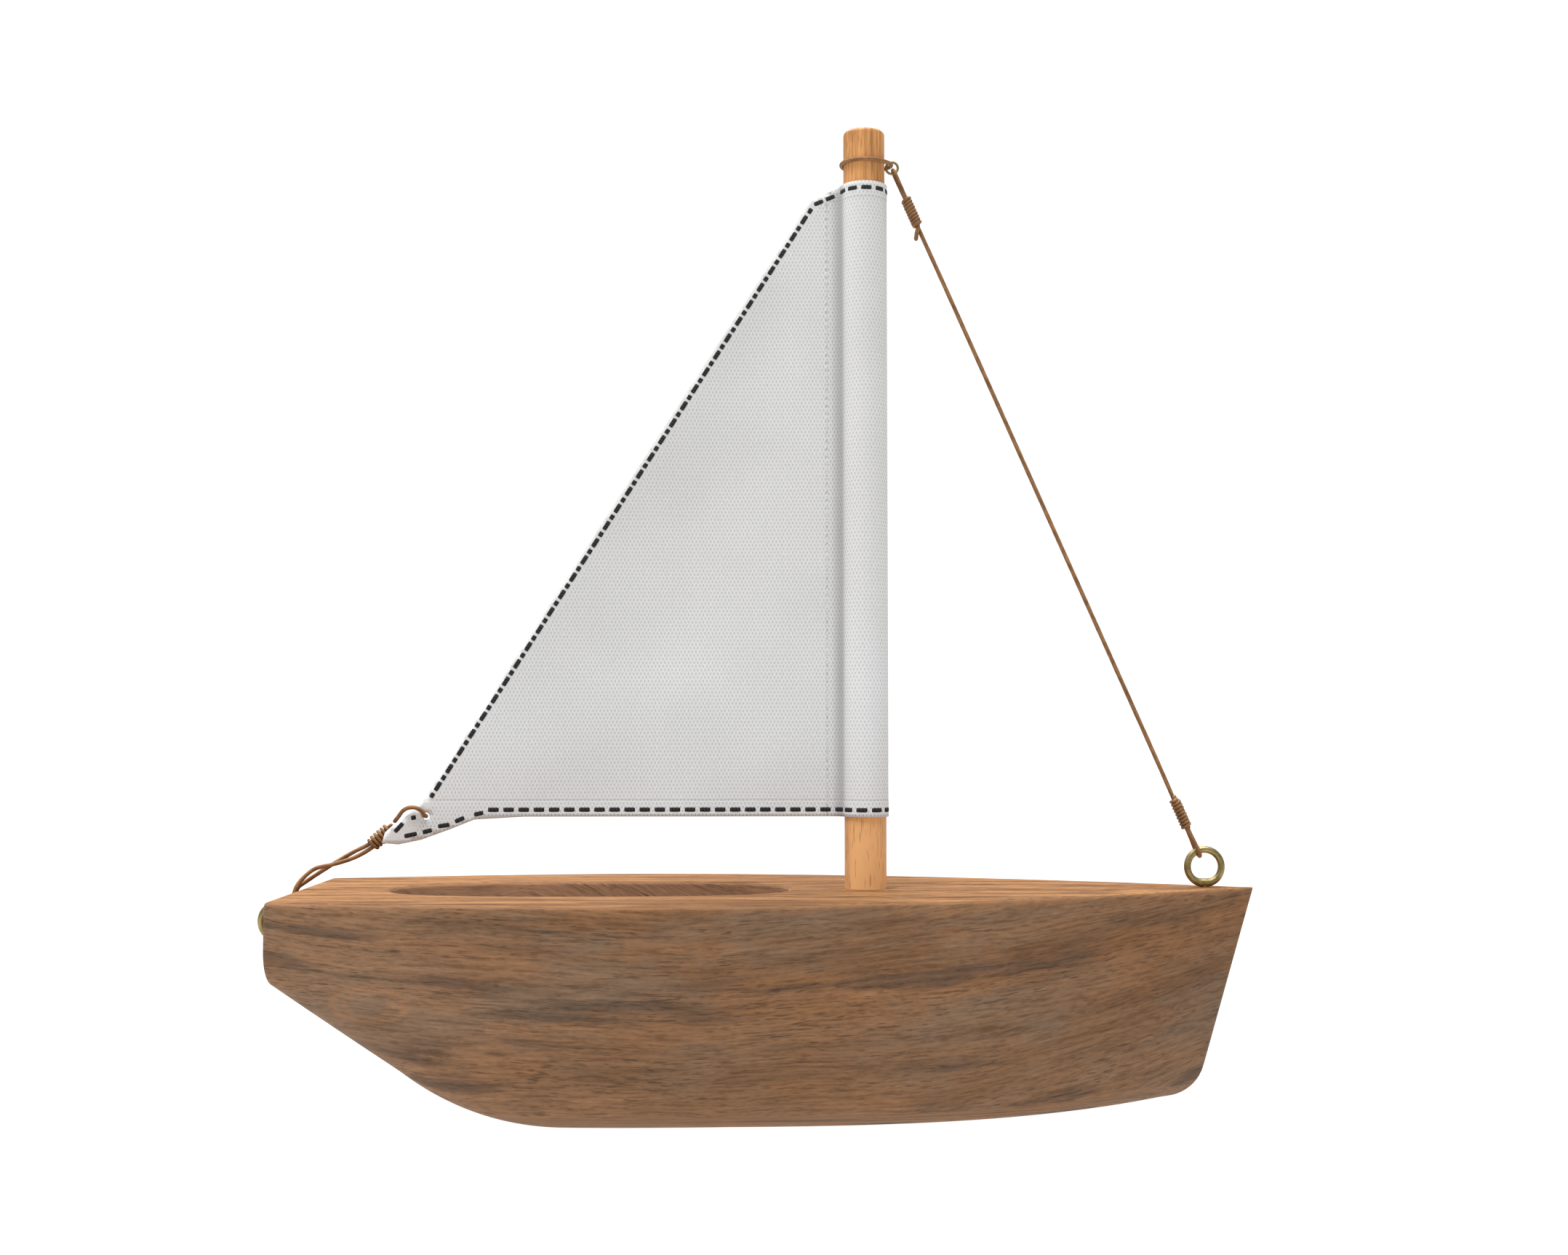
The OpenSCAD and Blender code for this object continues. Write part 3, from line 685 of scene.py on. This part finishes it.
def cord_shape(path, up):
    """Cord along a path, a little uneven along its length, its two ends rounded over half a millimetre."""
    s = np.concatenate([[0], np.cumsum(np.linalg.norm(np.diff(path, axis=0), axis=1))])
    end = np.minimum(s, s[-1] - s)
    radius = cord_d / 2 * (1 + 0.02 * np.sin(s * 0.9) + 0.015 * np.sin(s * 2.3 + 1))
    return tube(path, radius * np.sqrt(np.clip(0.2 + end / 0.5, 0, 1)), up, 12)


def whipping(a, b, turns, reach, across, start=0.0):
    """Cord wound round a bundle from a to b: an oval coil that reaches so far along across, and square to it."""
    a, b = np.asarray(a, float), np.asarray(b, float)
    line = unit(b - a)
    first = unit(across - (np.asarray(across, float) @ line) * line)
    second = np.cross(line, first)
    turn = np.linspace(0, turns, int(turns * 28) + 1)
    angle = 2 * np.pi * (turn + start)
    tuck = 1 - 0.55 * (1 - ease(np.minimum(turn, turns - turn), 0, 0.3))
    uneven = 1 + 0.02 * np.sin(angle * 0.37 + 1)
    coil = a + (b - a) * (turn / turns)[:, None]
    coil = coil + (tuck * uneven)[:, None] * (
        reach[0] * np.cos(angle)[:, None] * first + reach[1] * np.sin(angle)[:, None] * second)
    pitch = np.linalg.norm(b - a) / turns
    return tube(coil, min(wrap_d, pitch * 1.02) / 2, line, 8)


forestay_path = smooth_route(forestay_route, 0.45)
mainsheet_path = smooth_route(mainsheet_route, 0.35)
forestay = piece("forestay_cord", cord_shape(forestay_path, (0, 1, 0)), "leather_cord",
                 "hull", ["forestay"])
mainsheet = piece("mainsheet_cord", cord_shape(mainsheet_path, (0, 1, 0)), "leather_cord",
                  replaces=["mainsheet"])
round_stay = (wrap_d + cord_d) / 2 + np.array([strand, 0])
upper_wrap = piece(
    "forestay_upper_wrap",
    whipping(on_stay(upper_whip[0], 0), on_stay(sum(upper_whip), 0), 9, round_stay, (0, 1, 0)),
    "whipping_cord", "hull", ["forestay_upper_whipping"])
lower_start = stay_len - lower_whip[0] - lower_whip[1]
lower_wrap = piece(
    "forestay_lower_wrap",
    whipping(on_stay(lower_start, 0), on_stay(lower_start + lower_whip[1], 0), 9, round_stay, (0, 1, 0), 0.3),
    "whipping_cord", "hull", ["forestay_lower_whipping"])
round_sheet = (wrap_d + cord_d) / 2 + np.array([0, apart])
sheet_wrap = piece(
    "mainsheet_wrap",
    whipping([sheet_whip_aft[0], whip_y, sheet_whip_aft[1]], [sheet_whip_fore[0], whip_y, sheet_whip_fore[1]], 6,
             round_sheet, (0, 1, 0), 0.1),
    "whipping_cord", replaces=["mainsheet_whipping"])
for loose in (mainsheet, sheet_wrap):
    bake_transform(loose)

forestay_path[0] * MM
forestay_path * MM
mainsheet_path[0] * MM
mainsheet_path * MM

turn = 2 * np.pi * np.arange(160) / 160
strop_r = mast_r + cord_d / 2 + 1.4 * np.maximum(0, np.cos(turn)) ** 8
strop_path = np.stack([strop_r * np.cos(turn), strop_r * np.sin(turn), np.full(160, strop_z)], -1)
strop = tube(strop_path, cord_d / 2 * 0.98, (0, 0, 1), 12, closed=True)
piece("masthead_loop", strop, "leather_cord", "hull", ["masthead_strop"])


# ---- hull

def stem_x(z):
    """Front of the hull at height z: the raked stem above, a round foot below."""
    return np.where(z > foot_top_z, bow_x - stem_slope * (deck_z - z),
                    foot_x + np.sqrt(np.maximum(0, foot_r**2 - (foot_r - z) ** 2)))


def keel_z(x):
    """Height of the bottom at station x: the sloping run, the flat keel, the foot and the stem."""
    return np.select(
        [x < run_straight_x, x < run_flat_x, x < foot_x, x < foot_top_x],
        [run_z - (x - stern_x) * math.tan(run_angle),
         run_r - np.sqrt(np.maximum(0, run_r**2 - (run_flat_x - x) ** 2)),
         0 * x,
         foot_r - np.sqrt(np.maximum(0, foot_r**2 - (x - foot_x) ** 2))],
        deck_z - (bow_x - x) / stem_slope)


def half_width(x, z):
    """Half width at station x and height z: one power curve aft, another forward, and the stem's edge rounded."""
    behind = np.maximum(0, widest_x - x) / (widest_x - stern_x)
    aft = half_beam - (half_beam - half_transom) * behind ** aft_power
    front = stem_x(z)
    share = np.clip((x - widest_x) / (front - widest_x), 0, 1)
    fore = half_beam * (1 - share ** (keel_power + (fore_power - keel_power) * z / deck_z))
    gap = np.maximum(0, front - x)
    fore = np.sqrt(fore**2 + 2 * stem_round * gap * np.exp(-gap / (3 * stem_round)))
    return np.where(x < widest_x, aft, fore)


def hull_shape():
    """Closed hull: sections set along x, each a ring of deck, rounded edge, side, bilge and bottom; in place of the
    deck's middle, rings run from the deck's edge to the cockpit's rim, down its wall and across its floor."""
    ahead = 230
    share = np.linspace(0, 1, ahead)
    x = stern_x + edge_r + (bow_x - 0.3 - stern_x - edge_r) * (1 - (1 - share) ** 1.3)
    # First the transom's face, drawn in by the radius of its edge, then the rounding, then the plain stations
    turn_in = np.linspace(0, np.pi / 2, 5)[:-1]
    x = np.concatenate([stern_x + edge_r * (1 - np.cos(turn_in)), x])
    inset = np.concatenate([edge_r * (1 - np.sin(turn_in)), np.zeros(ahead)])
    first_plain = len(turn_in)
    x, inset = x[:, None], inset[:, None]

    wide = half_width(x, deck_z) - inset
    deck = deck_z - inset
    low = keel_z(np.maximum(x, stern_x)) + inset
    r = np.minimum(np.minimum(bilge_r, bilge_share * half_width(x, deck_z)), (deck_z - keel_z(x)) * bilge_of_depth)
    e = np.minimum(edge_r, 0.4 * wide)
    across = np.linspace(0, 1, 15)[None]
    deck_y, deck_h = (wide - e) * across, deck + 0 * across
    a = np.linspace(np.pi / 2, 0, 5)[None, 1:]
    edge_h = deck - e * (1 - np.sin(a))
    edge_y = half_width(x, edge_h) - inset - e * (1 - np.cos(a))
    down = np.concatenate([[0.015], np.linspace(0.05, 1, 24)])[None]
    side_top, side_low = deck - e, np.minimum(low + r, deck - e - 0.01)
    side_h = side_top + (side_low - side_top) * down
    side_y = half_width(x, side_h) - inset
    b = np.linspace(0, np.pi / 2, 15)[None, 1:]
    bilge_h = low + (side_low - low) * (1 - np.sin(b))
    drawn_in = np.minimum(0.96, r / np.maximum(half_width(x, side_low), 0.1))
    bilge_y = (half_width(x, bilge_h) - inset) * (1 - drawn_in * (1 - np.cos(b)))
    floor = np.linspace(1, 0, 9)[None, 1:]
    floor_y, floor_h = bilge_y[:, -1:] * floor, low + 0 * floor
    half_y = np.maximum(np.concatenate([deck_y, edge_y, side_y, bilge_y, floor_y], 1), 0)
    half_h = np.concatenate([deck_h, edge_h, side_h, bilge_h, floor_h], 1)
    ring_y = np.concatenate([-half_y, half_y[:, -2:0:-1]], 1)
    ring_h = np.concatenate([half_h, half_h[:, -2:0:-1]], 1)
    rows, columns = ring_y.shape
    skin = np.stack([np.broadcast_to(x, ring_y.shape), ring_y, ring_h], -1)

    quads, corners = lattice(rows, columns, False, True)
    last = across.shape[1] - 1
    on_deck = (corners[:, 0, 1] < last) | (corners[:, 0, 1] >= columns - last)
    quads = quads[~(on_deck & (corners[:, 0, 0] >= first_plain))]
    points = [skin.reshape(-1, 3)]

    # The transom's face and the bow's edge: an inner ring, then a fan
    faces = [quads]
    total = rows * columns
    for row, turn in ((0, -1), (rows - 1, 1)):
        ring = row * columns + np.arange(columns)
        middle = skin[row].mean(axis=0)
        inner = middle + (skin[row] - middle) * (0.985 if row == 0 else 0.5)
        inner_i = total + np.arange(columns)
        centre = total + columns
        band = np.stack([ring, np.roll(ring, -1), np.roll(inner_i, -1), inner_i], -1)
        fan = np.stack([inner_i, np.roll(inner_i, -1), np.full(columns, centre)], -1)
        faces += [band[:, ::turn], fan[:, ::turn]]
        points += [inner, middle[None]]
        total += columns + 1

    # Deck and cockpit: rings with one point for each point of the deck's edge
    station = np.arange(first_plain, rows)
    starboard, port = station * columns + last, station * columns + columns - last
    bow_row = (rows - 1) * columns + np.concatenate([np.arange(last - 1, -1, -1), columns - np.arange(1, last)])
    stern_row = first_plain * columns + np.concatenate(
        [columns - np.arange(last - 1, 0, -1), np.arange(0, last)])
    loop = np.concatenate([starboard, bow_row, port[::-1], stern_row])
    edge = skin.reshape(-1, 3)[loop]
    away = (edge[:, :2] - [cockpit_x, 0]) / cockpit_half
    angle = np.arctan2(away[:, 1], away[:, 0])
    ray = np.stack([np.cos(angle), np.sin(angle)], -1)
    ray /= (np.abs(ray) ** cockpit_power).sum(axis=1, keepdims=True) ** (1 / cockpit_power)

    def oval(inset, height):
        """Superellipse ring at a height, drawn in by inset."""
        flat = np.array([cockpit_x, 0]) + (cockpit_half - inset) * ray
        return np.column_stack([flat, np.full(len(flat), height)])

    rim_ring = oval(-cockpit_rim, deck_z)
    span = np.linalg.norm(rim_ring - edge, axis=1, keepdims=True)
    near = np.clip(0.4 / np.maximum(span, 0.5), 0, 0.4)
    rings = [edge + (rim_ring - edge) * w for w in (near, 0.2, 0.4, 0.6, 0.8, 1 - near, 1.0)]
    for s in np.linspace(0, np.pi / 2, 6)[1:]:
        drop = cockpit_rim * (1 - np.cos(s))
        rings.append(oval(-cockpit_rim * (1 - np.sin(s)) + cockpit_slope * drop, deck_z - drop))
    wall_low = cockpit_depth - cockpit_fillet
    for drop in np.concatenate([[cockpit_rim + 0.4], np.linspace(cockpit_rim + 2, wall_low, 7)]):
        rings.append(oval(cockpit_slope * drop, deck_z - drop))
    for s in np.linspace(0, np.pi / 2, 13)[1:]:
        drop = wall_low + cockpit_fillet * np.sin(s)
        rings.append(oval(cockpit_slope * drop + cockpit_fillet * (1 - np.cos(s)), deck_z - drop))
    floor_z = deck_z - cockpit_depth
    floor_in = cockpit_slope * cockpit_depth + cockpit_fillet
    for w in (0.97, 0.8, 0.6, 0.4, 0.2):
        ring = oval(floor_in, floor_z)
        rings.append(np.array([cockpit_x, 0, floor_z]) + (ring - [cockpit_x, 0, floor_z]) * w)
    points += rings + [np.array([[cockpit_x, 0, floor_z]])]
    before = loop
    for ring in rings:
        now = total + np.arange(len(loop))
        faces.append(np.stack([before, np.roll(before, -1), np.roll(now, -1), now], -1))
        before, total = now, total + len(loop)
    faces.append(np.stack([before, np.roll(before, -1), np.full(len(loop), total)], -1))
    points = np.concatenate(points)
    return points, faces, [points[f][..., :2] for f in faces]


piece("carved_hull", hull_shape(), "hull_wood", "hull", ["hull"])


# ---- mast

def lathe(profile, sides):
    """Surface of revolution about the mast's axis: profile is (radius, height) from the bottom up."""
    a = 2 * np.pi * np.arange(sides) / sides
    r, z = np.asarray(profile, float).T
    uneven = 1 + 0.0012 * np.sin(z * 0.06)[:, None] * np.sin(a + 0.4) + 0.0008 * np.sin(z * 0.13 + 2)[:, None]
    grid = np.stack([r[:, None] * uneven * np.cos(a), r[:, None] * uneven * np.sin(a), z[:, None] + 0 * a], -1)
    return shell(grid, along=z[None])


mast_edge = 1.2
edge_a = np.linspace(0, np.pi / 2, 9)
mast_profile = np.concatenate([
    np.column_stack([np.full(70, mast_r), np.linspace(mast_low[2], mast_top - mast_edge - 0.4, 70)]),
    np.column_stack([mast_r - mast_edge * (1 - np.cos(edge_a)), mast_top - mast_edge * (1 - np.sin(edge_a))]),
    [[mast_r - mast_edge - 0.4, mast_top], [mast_r * 0.4, mast_top]],
])
piece("mast_dowel", lathe(mast_profile, 96), "mast_wood", "hull", ["mast"])


# ---- sail


def in_plan(t):
    """Where the cloth runs seen from above, and which way its outer face looks: straight along the panel, a bend to
    the mast, round the mast, a bend back, and straight along the panel's back."""
    a = np.asarray(t, float) - turn_x
    bend = np.clip(a, 0, bend_len) / turn_r
    arc = math.pi + turn_a + np.clip(a - bend_len, 0, wrap_len) / sleeve_mid_r
    back = -turn_a - np.clip(a - bend_len - wrap_len, 0, bend_len) / turn_r
    cases = [a < 0, a < bend_len, a < bend_len + wrap_len, a < 2 * bend_len + wrap_len]
    lap = a - 2 * bend_len - wrap_len
    x = np.select(cases, [turn_x + a, turn_x + turn_r * np.sin(bend), sleeve_mid_r * np.cos(arc),
                          turn_x + turn_r * np.cos(back)], turn_x - lap)
    y = np.select(cases, [0 * a, turn_r * (np.cos(bend) - 1), sleeve_mid_r * np.sin(arc),
                          turn_r * (1 + np.sin(back))], 0 * a)
    nx = np.select(cases, [0 * a, -np.sin(bend), np.cos(arc), -np.cos(back)], 0 * a)
    ny = np.select(cases, [0 * a - 1, -np.cos(bend), np.sin(arc), -np.sin(back)], 0 * a + 1)
    out = lap_gap * ease(a, bend_len + wrap_len, 2 * bend_len + wrap_len)
    return x + out * nx, y + out * ny, nx, ny


def hem_share(t, z):
    """1 on the turned hems along the foot and the head, 0 between them."""
    top = np.where(t < -mast_r, head_z - 4 * np.clip((-t - mast_r) / 9.4, 0, 1), head_z)
    return 1 - ease(z, foot_z + hem - 0.25, foot_z + hem + 0.15) + ease(z, top - hem - 0.15, top - hem + 0.25)


def on_cloth(t, z, h):
    """Point on the cloth at flat coordinates t and z, h in front of its middle surface.

    The panel bellies a little between luff, leech and foot, with slow ripples that die out towards the luff and
    the clew.
    """
    x, y, nx, ny = in_plan(t)
    share = np.clip((z - foot_z) / (head_z - foot_z), 0, 1)
    leech_x = leech_low[0] + (leech_high[0] - leech_low[0]) * share
    across = np.clip((t - leech_x) / (seam_x - leech_x), 0, 1)
    free = ease(seam_x - np.asarray(t, float), 0, 26) * ease(np.hypot(t - clew_hole[0], z - clew_hole[1]), 8, 40)
    belly = 1.5 * np.sin(np.pi * across) * np.sin(np.pi * share) ** 0.8
    ripple = 0.16 * np.sin(t * 0.11 + z * 0.05) + 0.10 * np.sin(z * 0.17 - t * 0.06 + 1.2)
    return np.stack([x + h * nx, y + h * ny + free * (belly + ripple), np.asarray(z, float) + 0 * x], -1)


def cut_outline():
    """The cloth's cut edge in flat coordinates, going round once: head, leech, clew, foot and the sleeve's lap."""
    lap_start = turn_x + bend_len + wrap_len
    corners = np.concatenate([
        [[lap_start, head_z], [-mast_r, head_z], leech_high, leech_low], leech_low + clew_offsets,
        [[turn_x, foot_z], [cloth_end, foot_z], [cloth_end, head_z - 3.2]],
    ])
    following = np.roll(corners, -1, axis=0)
    pieces = [a + (b - a) * np.linspace(0, 1, max(2, int(np.linalg.norm(b - a) / 1.3) + 1))[:-1, None]
              for a, b in zip(corners, following)]
    return corners, np.concatenate(pieces)


def inside(points, outline):
    """Which points lie inside an outline: an odd number of its edges cross the line to their right."""
    x, y = points[:, 0][:, None], points[:, 1][:, None]
    x0, y0 = outline.T
    x1, y1 = np.roll(outline, -1, axis=0).T
    crosses = (y0 > y) != (y1 > y)
    with np.errstate(divide="ignore", invalid="ignore"):
        at = x0 + (y - y0) * (x1 - x0) / np.where(y1 == y0, 1, y1 - y0)
    return (crosses & (x < at)).sum(axis=1) % 2 == 1


def edge_distance(points, outline):
    """Distance from points to the nearest edge of an outline."""
    a, b = outline[None], np.roll(outline, -1, axis=0)[None]
    p = points[:, None]
    w = np.clip(((p - a) * (b - a)).sum(-1) / ((b - a) ** 2).sum(-1), 0, 1)
    return np.linalg.norm(p - a - w[..., None] * (b - a), axis=-1).min(axis=1)


def sail_shape():
    """Cloth of real thickness: its flat cut is triangulated, and both faces and the cut edge are put in place."""
    corners, outline = cut_outline()
    rows = np.arange(leech_low[1] - 12, head_z + 1, 1.45)
    fine = np.arange(turn_x - 1, cloth_end, 0.95)
    coarse = np.arange(-140, turn_x - 1, 1.6)
    t, z = np.meshgrid(np.concatenate([coarse, fine]), rows)
    t = t + 0.4 * (np.arange(len(rows)) % 2)[:, None]
    spots = np.column_stack([t.ravel(), z.ravel()])
    hole = clew_hole + clew_hole_r * np.stack(
        [np.cos(np.linspace(0, 2 * np.pi, 21)[:-1]), np.sin(np.linspace(0, 2 * np.pi, 21)[:-1])], -1)
    spots = spots[inside(spots, corners)]
    spots = spots[edge_distance(spots, corners) > 0.55]
    spots = spots[np.linalg.norm(spots - clew_hole, axis=1) > clew_hole_r + 0.5]
    every = np.concatenate([outline, hole, spots])
    ring = [[i, (i + 1) % len(outline)] for i in range(len(outline))]
    ring += [[len(outline) + i, len(outline) + (i + 1) % len(hole)] for i in range(len(hole))]
    flat, _, triangles, *_ = delaunay_2d_cdt(every.tolist(), ring, [], 0, 1e-5)
    flat = np.array([list(p) for p in flat])
    triangles = np.array(triangles)
    middle = flat[triangles].mean(axis=1)
    keep = inside(middle, corners) & (np.linalg.norm(middle - clew_hole, axis=1) > clew_hole_r * 0.97)
    triangles = triangles[keep]
    used, triangles = np.unique(triangles, return_inverse=True)
    flat, triangles = flat[used], triangles.reshape(-1, 3)
    a, b, c = (flat[triangles[:, i]] for i in range(3))
    clockwise = (b - a)[:, 0] * (c - a)[:, 1] - (b - a)[:, 1] * (c - a)[:, 0] < 0
    triangles[clockwise] = triangles[clockwise][:, ::-1]

    thick = cloth / 2 + 0.07 * hem_share(flat[:, 0], flat[:, 1])
    front = on_cloth(flat[:, 0], flat[:, 1], thick)
    back = on_cloth(flat[:, 0], flat[:, 1], -thick)
    n = len(flat)
    edges = np.concatenate([triangles[:, [0, 1]], triangles[:, [1, 2]], triangles[:, [2, 0]]])
    _, first, counts = np.unique(np.sort(edges, axis=1), axis=0, return_index=True, return_counts=True)
    rim = edges[first[counts == 1]]
    walls = np.column_stack([rim[:, 1], rim[:, 0], rim[:, 0] + n, rim[:, 1] + n])
    faces = [triangles, triangles[:, ::-1] + n, walls]
    both = np.concatenate([flat, flat])
    area = 0.5 * np.abs((b - a)[:, 0] * (c - a)[:, 1] - (b - a)[:, 1] * (c - a)[:, 0]).sum()
    return (np.concatenate([front, back]), faces, [both[f] for f in faces]), area, np.ptp(flat, axis=0)


sail_cut, cut_area, cut_size = sail_shape()
sail = piece("canvas_sail", sail_cut, "canvas", "sail", ["sail"])


def stitches(starts, ends, width, proud):
    """Stitches on both faces of the cloth, each a flattened strand from a start to an end in flat coordinates: it
    rises out of the cloth, lies on it, and dives back."""
    a, b = np.asarray(starts, float), np.asarray(ends, float)
    s = np.array([0, 0.04, 0.2, 0.5, 0.8, 0.96, 1.0])
    taper = np.array([0.70, 0.95, 1.0, 1.0, 1.0, 0.95, 0.70])
    lift = np.array([-0.20, 0.06, 0.12, 0.15, 0.12, 0.06, -0.20])
    line = unit(b - a)
    across = np.stack([-line[:, 1], line[:, 0]], -1)
    psi = 2 * np.pi * np.arange(8) / 8
    side = width / 2 * taper[:, None] * np.cos(psi)
    up = cloth / 2 + proud * (lift[:, None] / 0.2 + taper[:, None] * np.sin(psi)) * 0.55
    middle = a[:, None] + (b - a)[:, None] * s[:, None]
    flat = middle[:, :, None] + side[..., None] * across[:, None, None]
    up = np.broadcast_to(up, flat.shape[:3])
    length = np.linalg.norm(b - a, axis=1)
    along = length[:, None] * s
    front = on_cloth(flat[..., 0], flat[..., 1], up)
    back = on_cloth(flat[..., 0], flat[..., 1], -up)[:, :, ::-1]
    return joined(shell(front[:, :, ::-1], along), shell(back[:, :, ::-1], along))


def dashes(start, end, length, pitch):
    """Ends of even dashes along a line: as many as fit, length long and pitch apart."""
    start, end = np.asarray(start, float), np.asarray(end, float)
    way = unit(end - start)
    count = int((np.linalg.norm(end - start) + pitch - length) / pitch)
    at = np.arange(count)[:, None] * pitch
    return start + way * at, start + way * (at + length)


def sew(name, runs, slot, width, proud, replaces):
    """One piece of stitching from runs of dashes."""
    starts, ends = (np.concatenate([run[i] for run in runs]) for i in (0, 1))
    return piece(name, stitches(starts, ends, width, proud), slot, "sail", [replaces])


stitch_in = 2.0
black_width, black_proud = 1.25, 0.24
sleeve_end_t = turn_x + bend_len + wrap_len
head_run = [
    ([[-16.2, head_z - 8.1]], [[-15.3, head_z - 6.6]]),
    dashes([-14.6, head_z - 5.5], [-8.4, head_z - 2.8], 2.9, 3.7),
    dashes([-6.6, head_z - stitch_in], [sleeve_end_t, head_z - stitch_in], 3.0, 4.1),
]
leech_in = np.array([leech_way[1], -leech_way[0]])
leech_a = leech_low + leech_way * 2.5 + leech_in * 1.5
leech_b = leech_high - leech_way * 2.5 + leech_in * 1.5
short = dashes(leech_a, leech_b, 1.5, 5.9)
long_start, long_end = dashes(leech_a + leech_way * 2.3, leech_b, 2.9, 5.9)
clew_dashes = np.array([
    [-7.5, -8.5, -5.1, -5.9], [-4.8, -9.7, -1.1, -8.9], [0.4, -8.6, 3.1, -7.9], [4.7, -6.9, 8.1, -6.4],
    [9.5, -5.6, 12.2, -4.4], [14.9, -3.6, 17.6, -3.0], [-2.9, -4.5, -1.5, -4.3],
])
foot_run = [
    dashes([-107.7, foot_z + stitch_in], [sleeve_end_t, foot_z + stitch_in], 3.2, 4.3),
    (leech_low + clew_dashes[:, :2], leech_low + clew_dashes[:, 2:]),
]
black = ("black_thread", black_width, black_proud)
head_sewn = sew("head_stitches", head_run, *black, "head_stitching")
leech_sewn = sew("leech_stitches", [short, (long_start, long_end)], *black, "leech_stitching")
foot_sewn = sew("foot_stitches", foot_run, *black, "foot_stitching")
seam_run = [dashes([seam_x, foot_z + 3.5], [seam_x, head_z - 6.5], 1.8, 2.5)]
seam_sewn = sew("sleeve_seam_stitches", seam_run, "white_thread", 0.34, 0.1, "sleeve_stitching")


# ---- brass

def screw_eye(centre, shank_way):
    """Ring of wire, thicker where it joins the shank, and the shank with its thread and point.

    shank_way is the way in which the shank leaves the ring, in the x-z plane.
    """
    down = np.array([shank_way[0], 0, shank_way[1]], float)
    middle = np.array([centre[0], 0, centre[1]])
    side = np.cross([0, 1, 0], down)
    a = 2 * np.pi * np.arange(120) / 120
    near = np.minimum(a, 2 * np.pi - a)
    wire = eye_wire / 2 * (1 + 0.28 * np.exp(-((near / 0.5) ** 2)))
    mean = eye_d / 2 - wire
    path = middle + mean[:, None] * (np.cos(a)[:, None] * down + np.sin(a)[:, None] * side)
    ring = tube(path, wire, (0, 1, 0), 20, closed=True)
    s = np.linspace(0, eye_shank, 220)
    depth = ease(s, 2.2, 3.2) * (1 - ease(s, eye_shank - 1, eye_shank))
    core = eye_wire / 2 * np.where(s > eye_shank - 3.5, (eye_shank - s) / 3.5 * 0.92 + 0.08, 1.0)
    around = 2 * np.pi * np.arange(16) / 16
    ridge = np.cos(2 * np.pi * s[:, None] / 0.9 - around) * 0.5 - 0.5
    r = core[:, None] * (1 + 0.24 * depth[:, None] * ridge)
    start = middle + down * (eye_d / 2 - 0.9)
    grid = start + s[:, None, None] * down + r[..., None] * (
        np.cos(around)[:, None] * side + np.sin(around)[:, None] * np.cross(down, side))
    return joined(ring, shell(grid))


piece("bow_screw_eye", screw_eye(bow_eye_c, (0, -1)), "brass", "hull", ["bow_eye"])
piece("stern_screw_eye", screw_eye(stern_eye_c, (1, 0)), "brass", "hull", ["stern_eye"])
a = 2 * np.pi * np.arange(64) / 64
ring_path = np.stack([ring_c[0] + ring_mean_r * np.cos(a), 0 * a, ring_c[1] + ring_mean_r * np.sin(a)], -1)
small_ring = tube(ring_path, ring_wire / 2, (0, 1, 0), 14, closed=True)
piece("masthead_wire_ring", small_ring, "brass", "hull", ["masthead_ring"])


# ---- floor and light

def studio():
    """Pale floor, a white surround, and one broad soft light from above."""
    half = 6.0
    corners = [(-half, -half, 0), (half, -half, 0), (half, half, 0), (-half, half, 0)]
    mesh = bpy.data.meshes.new("floor")
    mesh.from_pydata(corners, [], [(0, 1, 2, 3)])
    floor = bpy.data.objects.new("floor", mesh)
    bpy.context.collection.objects.link(floor)
    pale = Finish("pale_floor", Roughness=0.9, Specular_IOR_Level=0.0)
    pale.set(**{"Base Color": colour(0.08, 0.08, 0.08), "Emission Color": colour(1, 1, 1),
                "Emission Strength": 1.0})
    mesh.materials.append(pale.material)

    sun = bpy.data.lights.new("soft_top_light", "SUN")
    sun.energy = 6.4
    sun.angle = math.radians(60)
    top = bpy.data.objects.new("soft_top_light", sun)
    top.rotation_euler = (0, math.radians(-10), 0)
    bpy.context.collection.objects.link(top)

    world = bpy.data.worlds.new("surround")
    bpy.context.scene.world = world
    world.use_nodes = True
    nodes, links = world.node_tree.nodes, world.node_tree.links
    nodes.clear()
    seen, cast = nodes.new("ShaderNodeBackground"), nodes.new("ShaderNodeBackground")
    seen.inputs["Color"].default_value = cast.inputs["Color"].default_value = (1, 1, 1, 1)
    seen.inputs["Strength"].default_value = 1.05
    cast.inputs["Strength"].default_value = 0.44
    ray, blend, output = (nodes.new(k) for k in (
        "ShaderNodeLightPath", "ShaderNodeMixShader", "ShaderNodeOutputWorld"))
    links.new(ray.outputs["Is Camera Ray"], blend.inputs[0])
    links.new(cast.outputs[0], blend.inputs[1])
    links.new(seen.outputs[0], blend.inputs[2])
    links.new(blend.outputs[0], output.inputs["Surface"])


studio()
bpy.context.scene.view_settings.view_transform = "Standard"
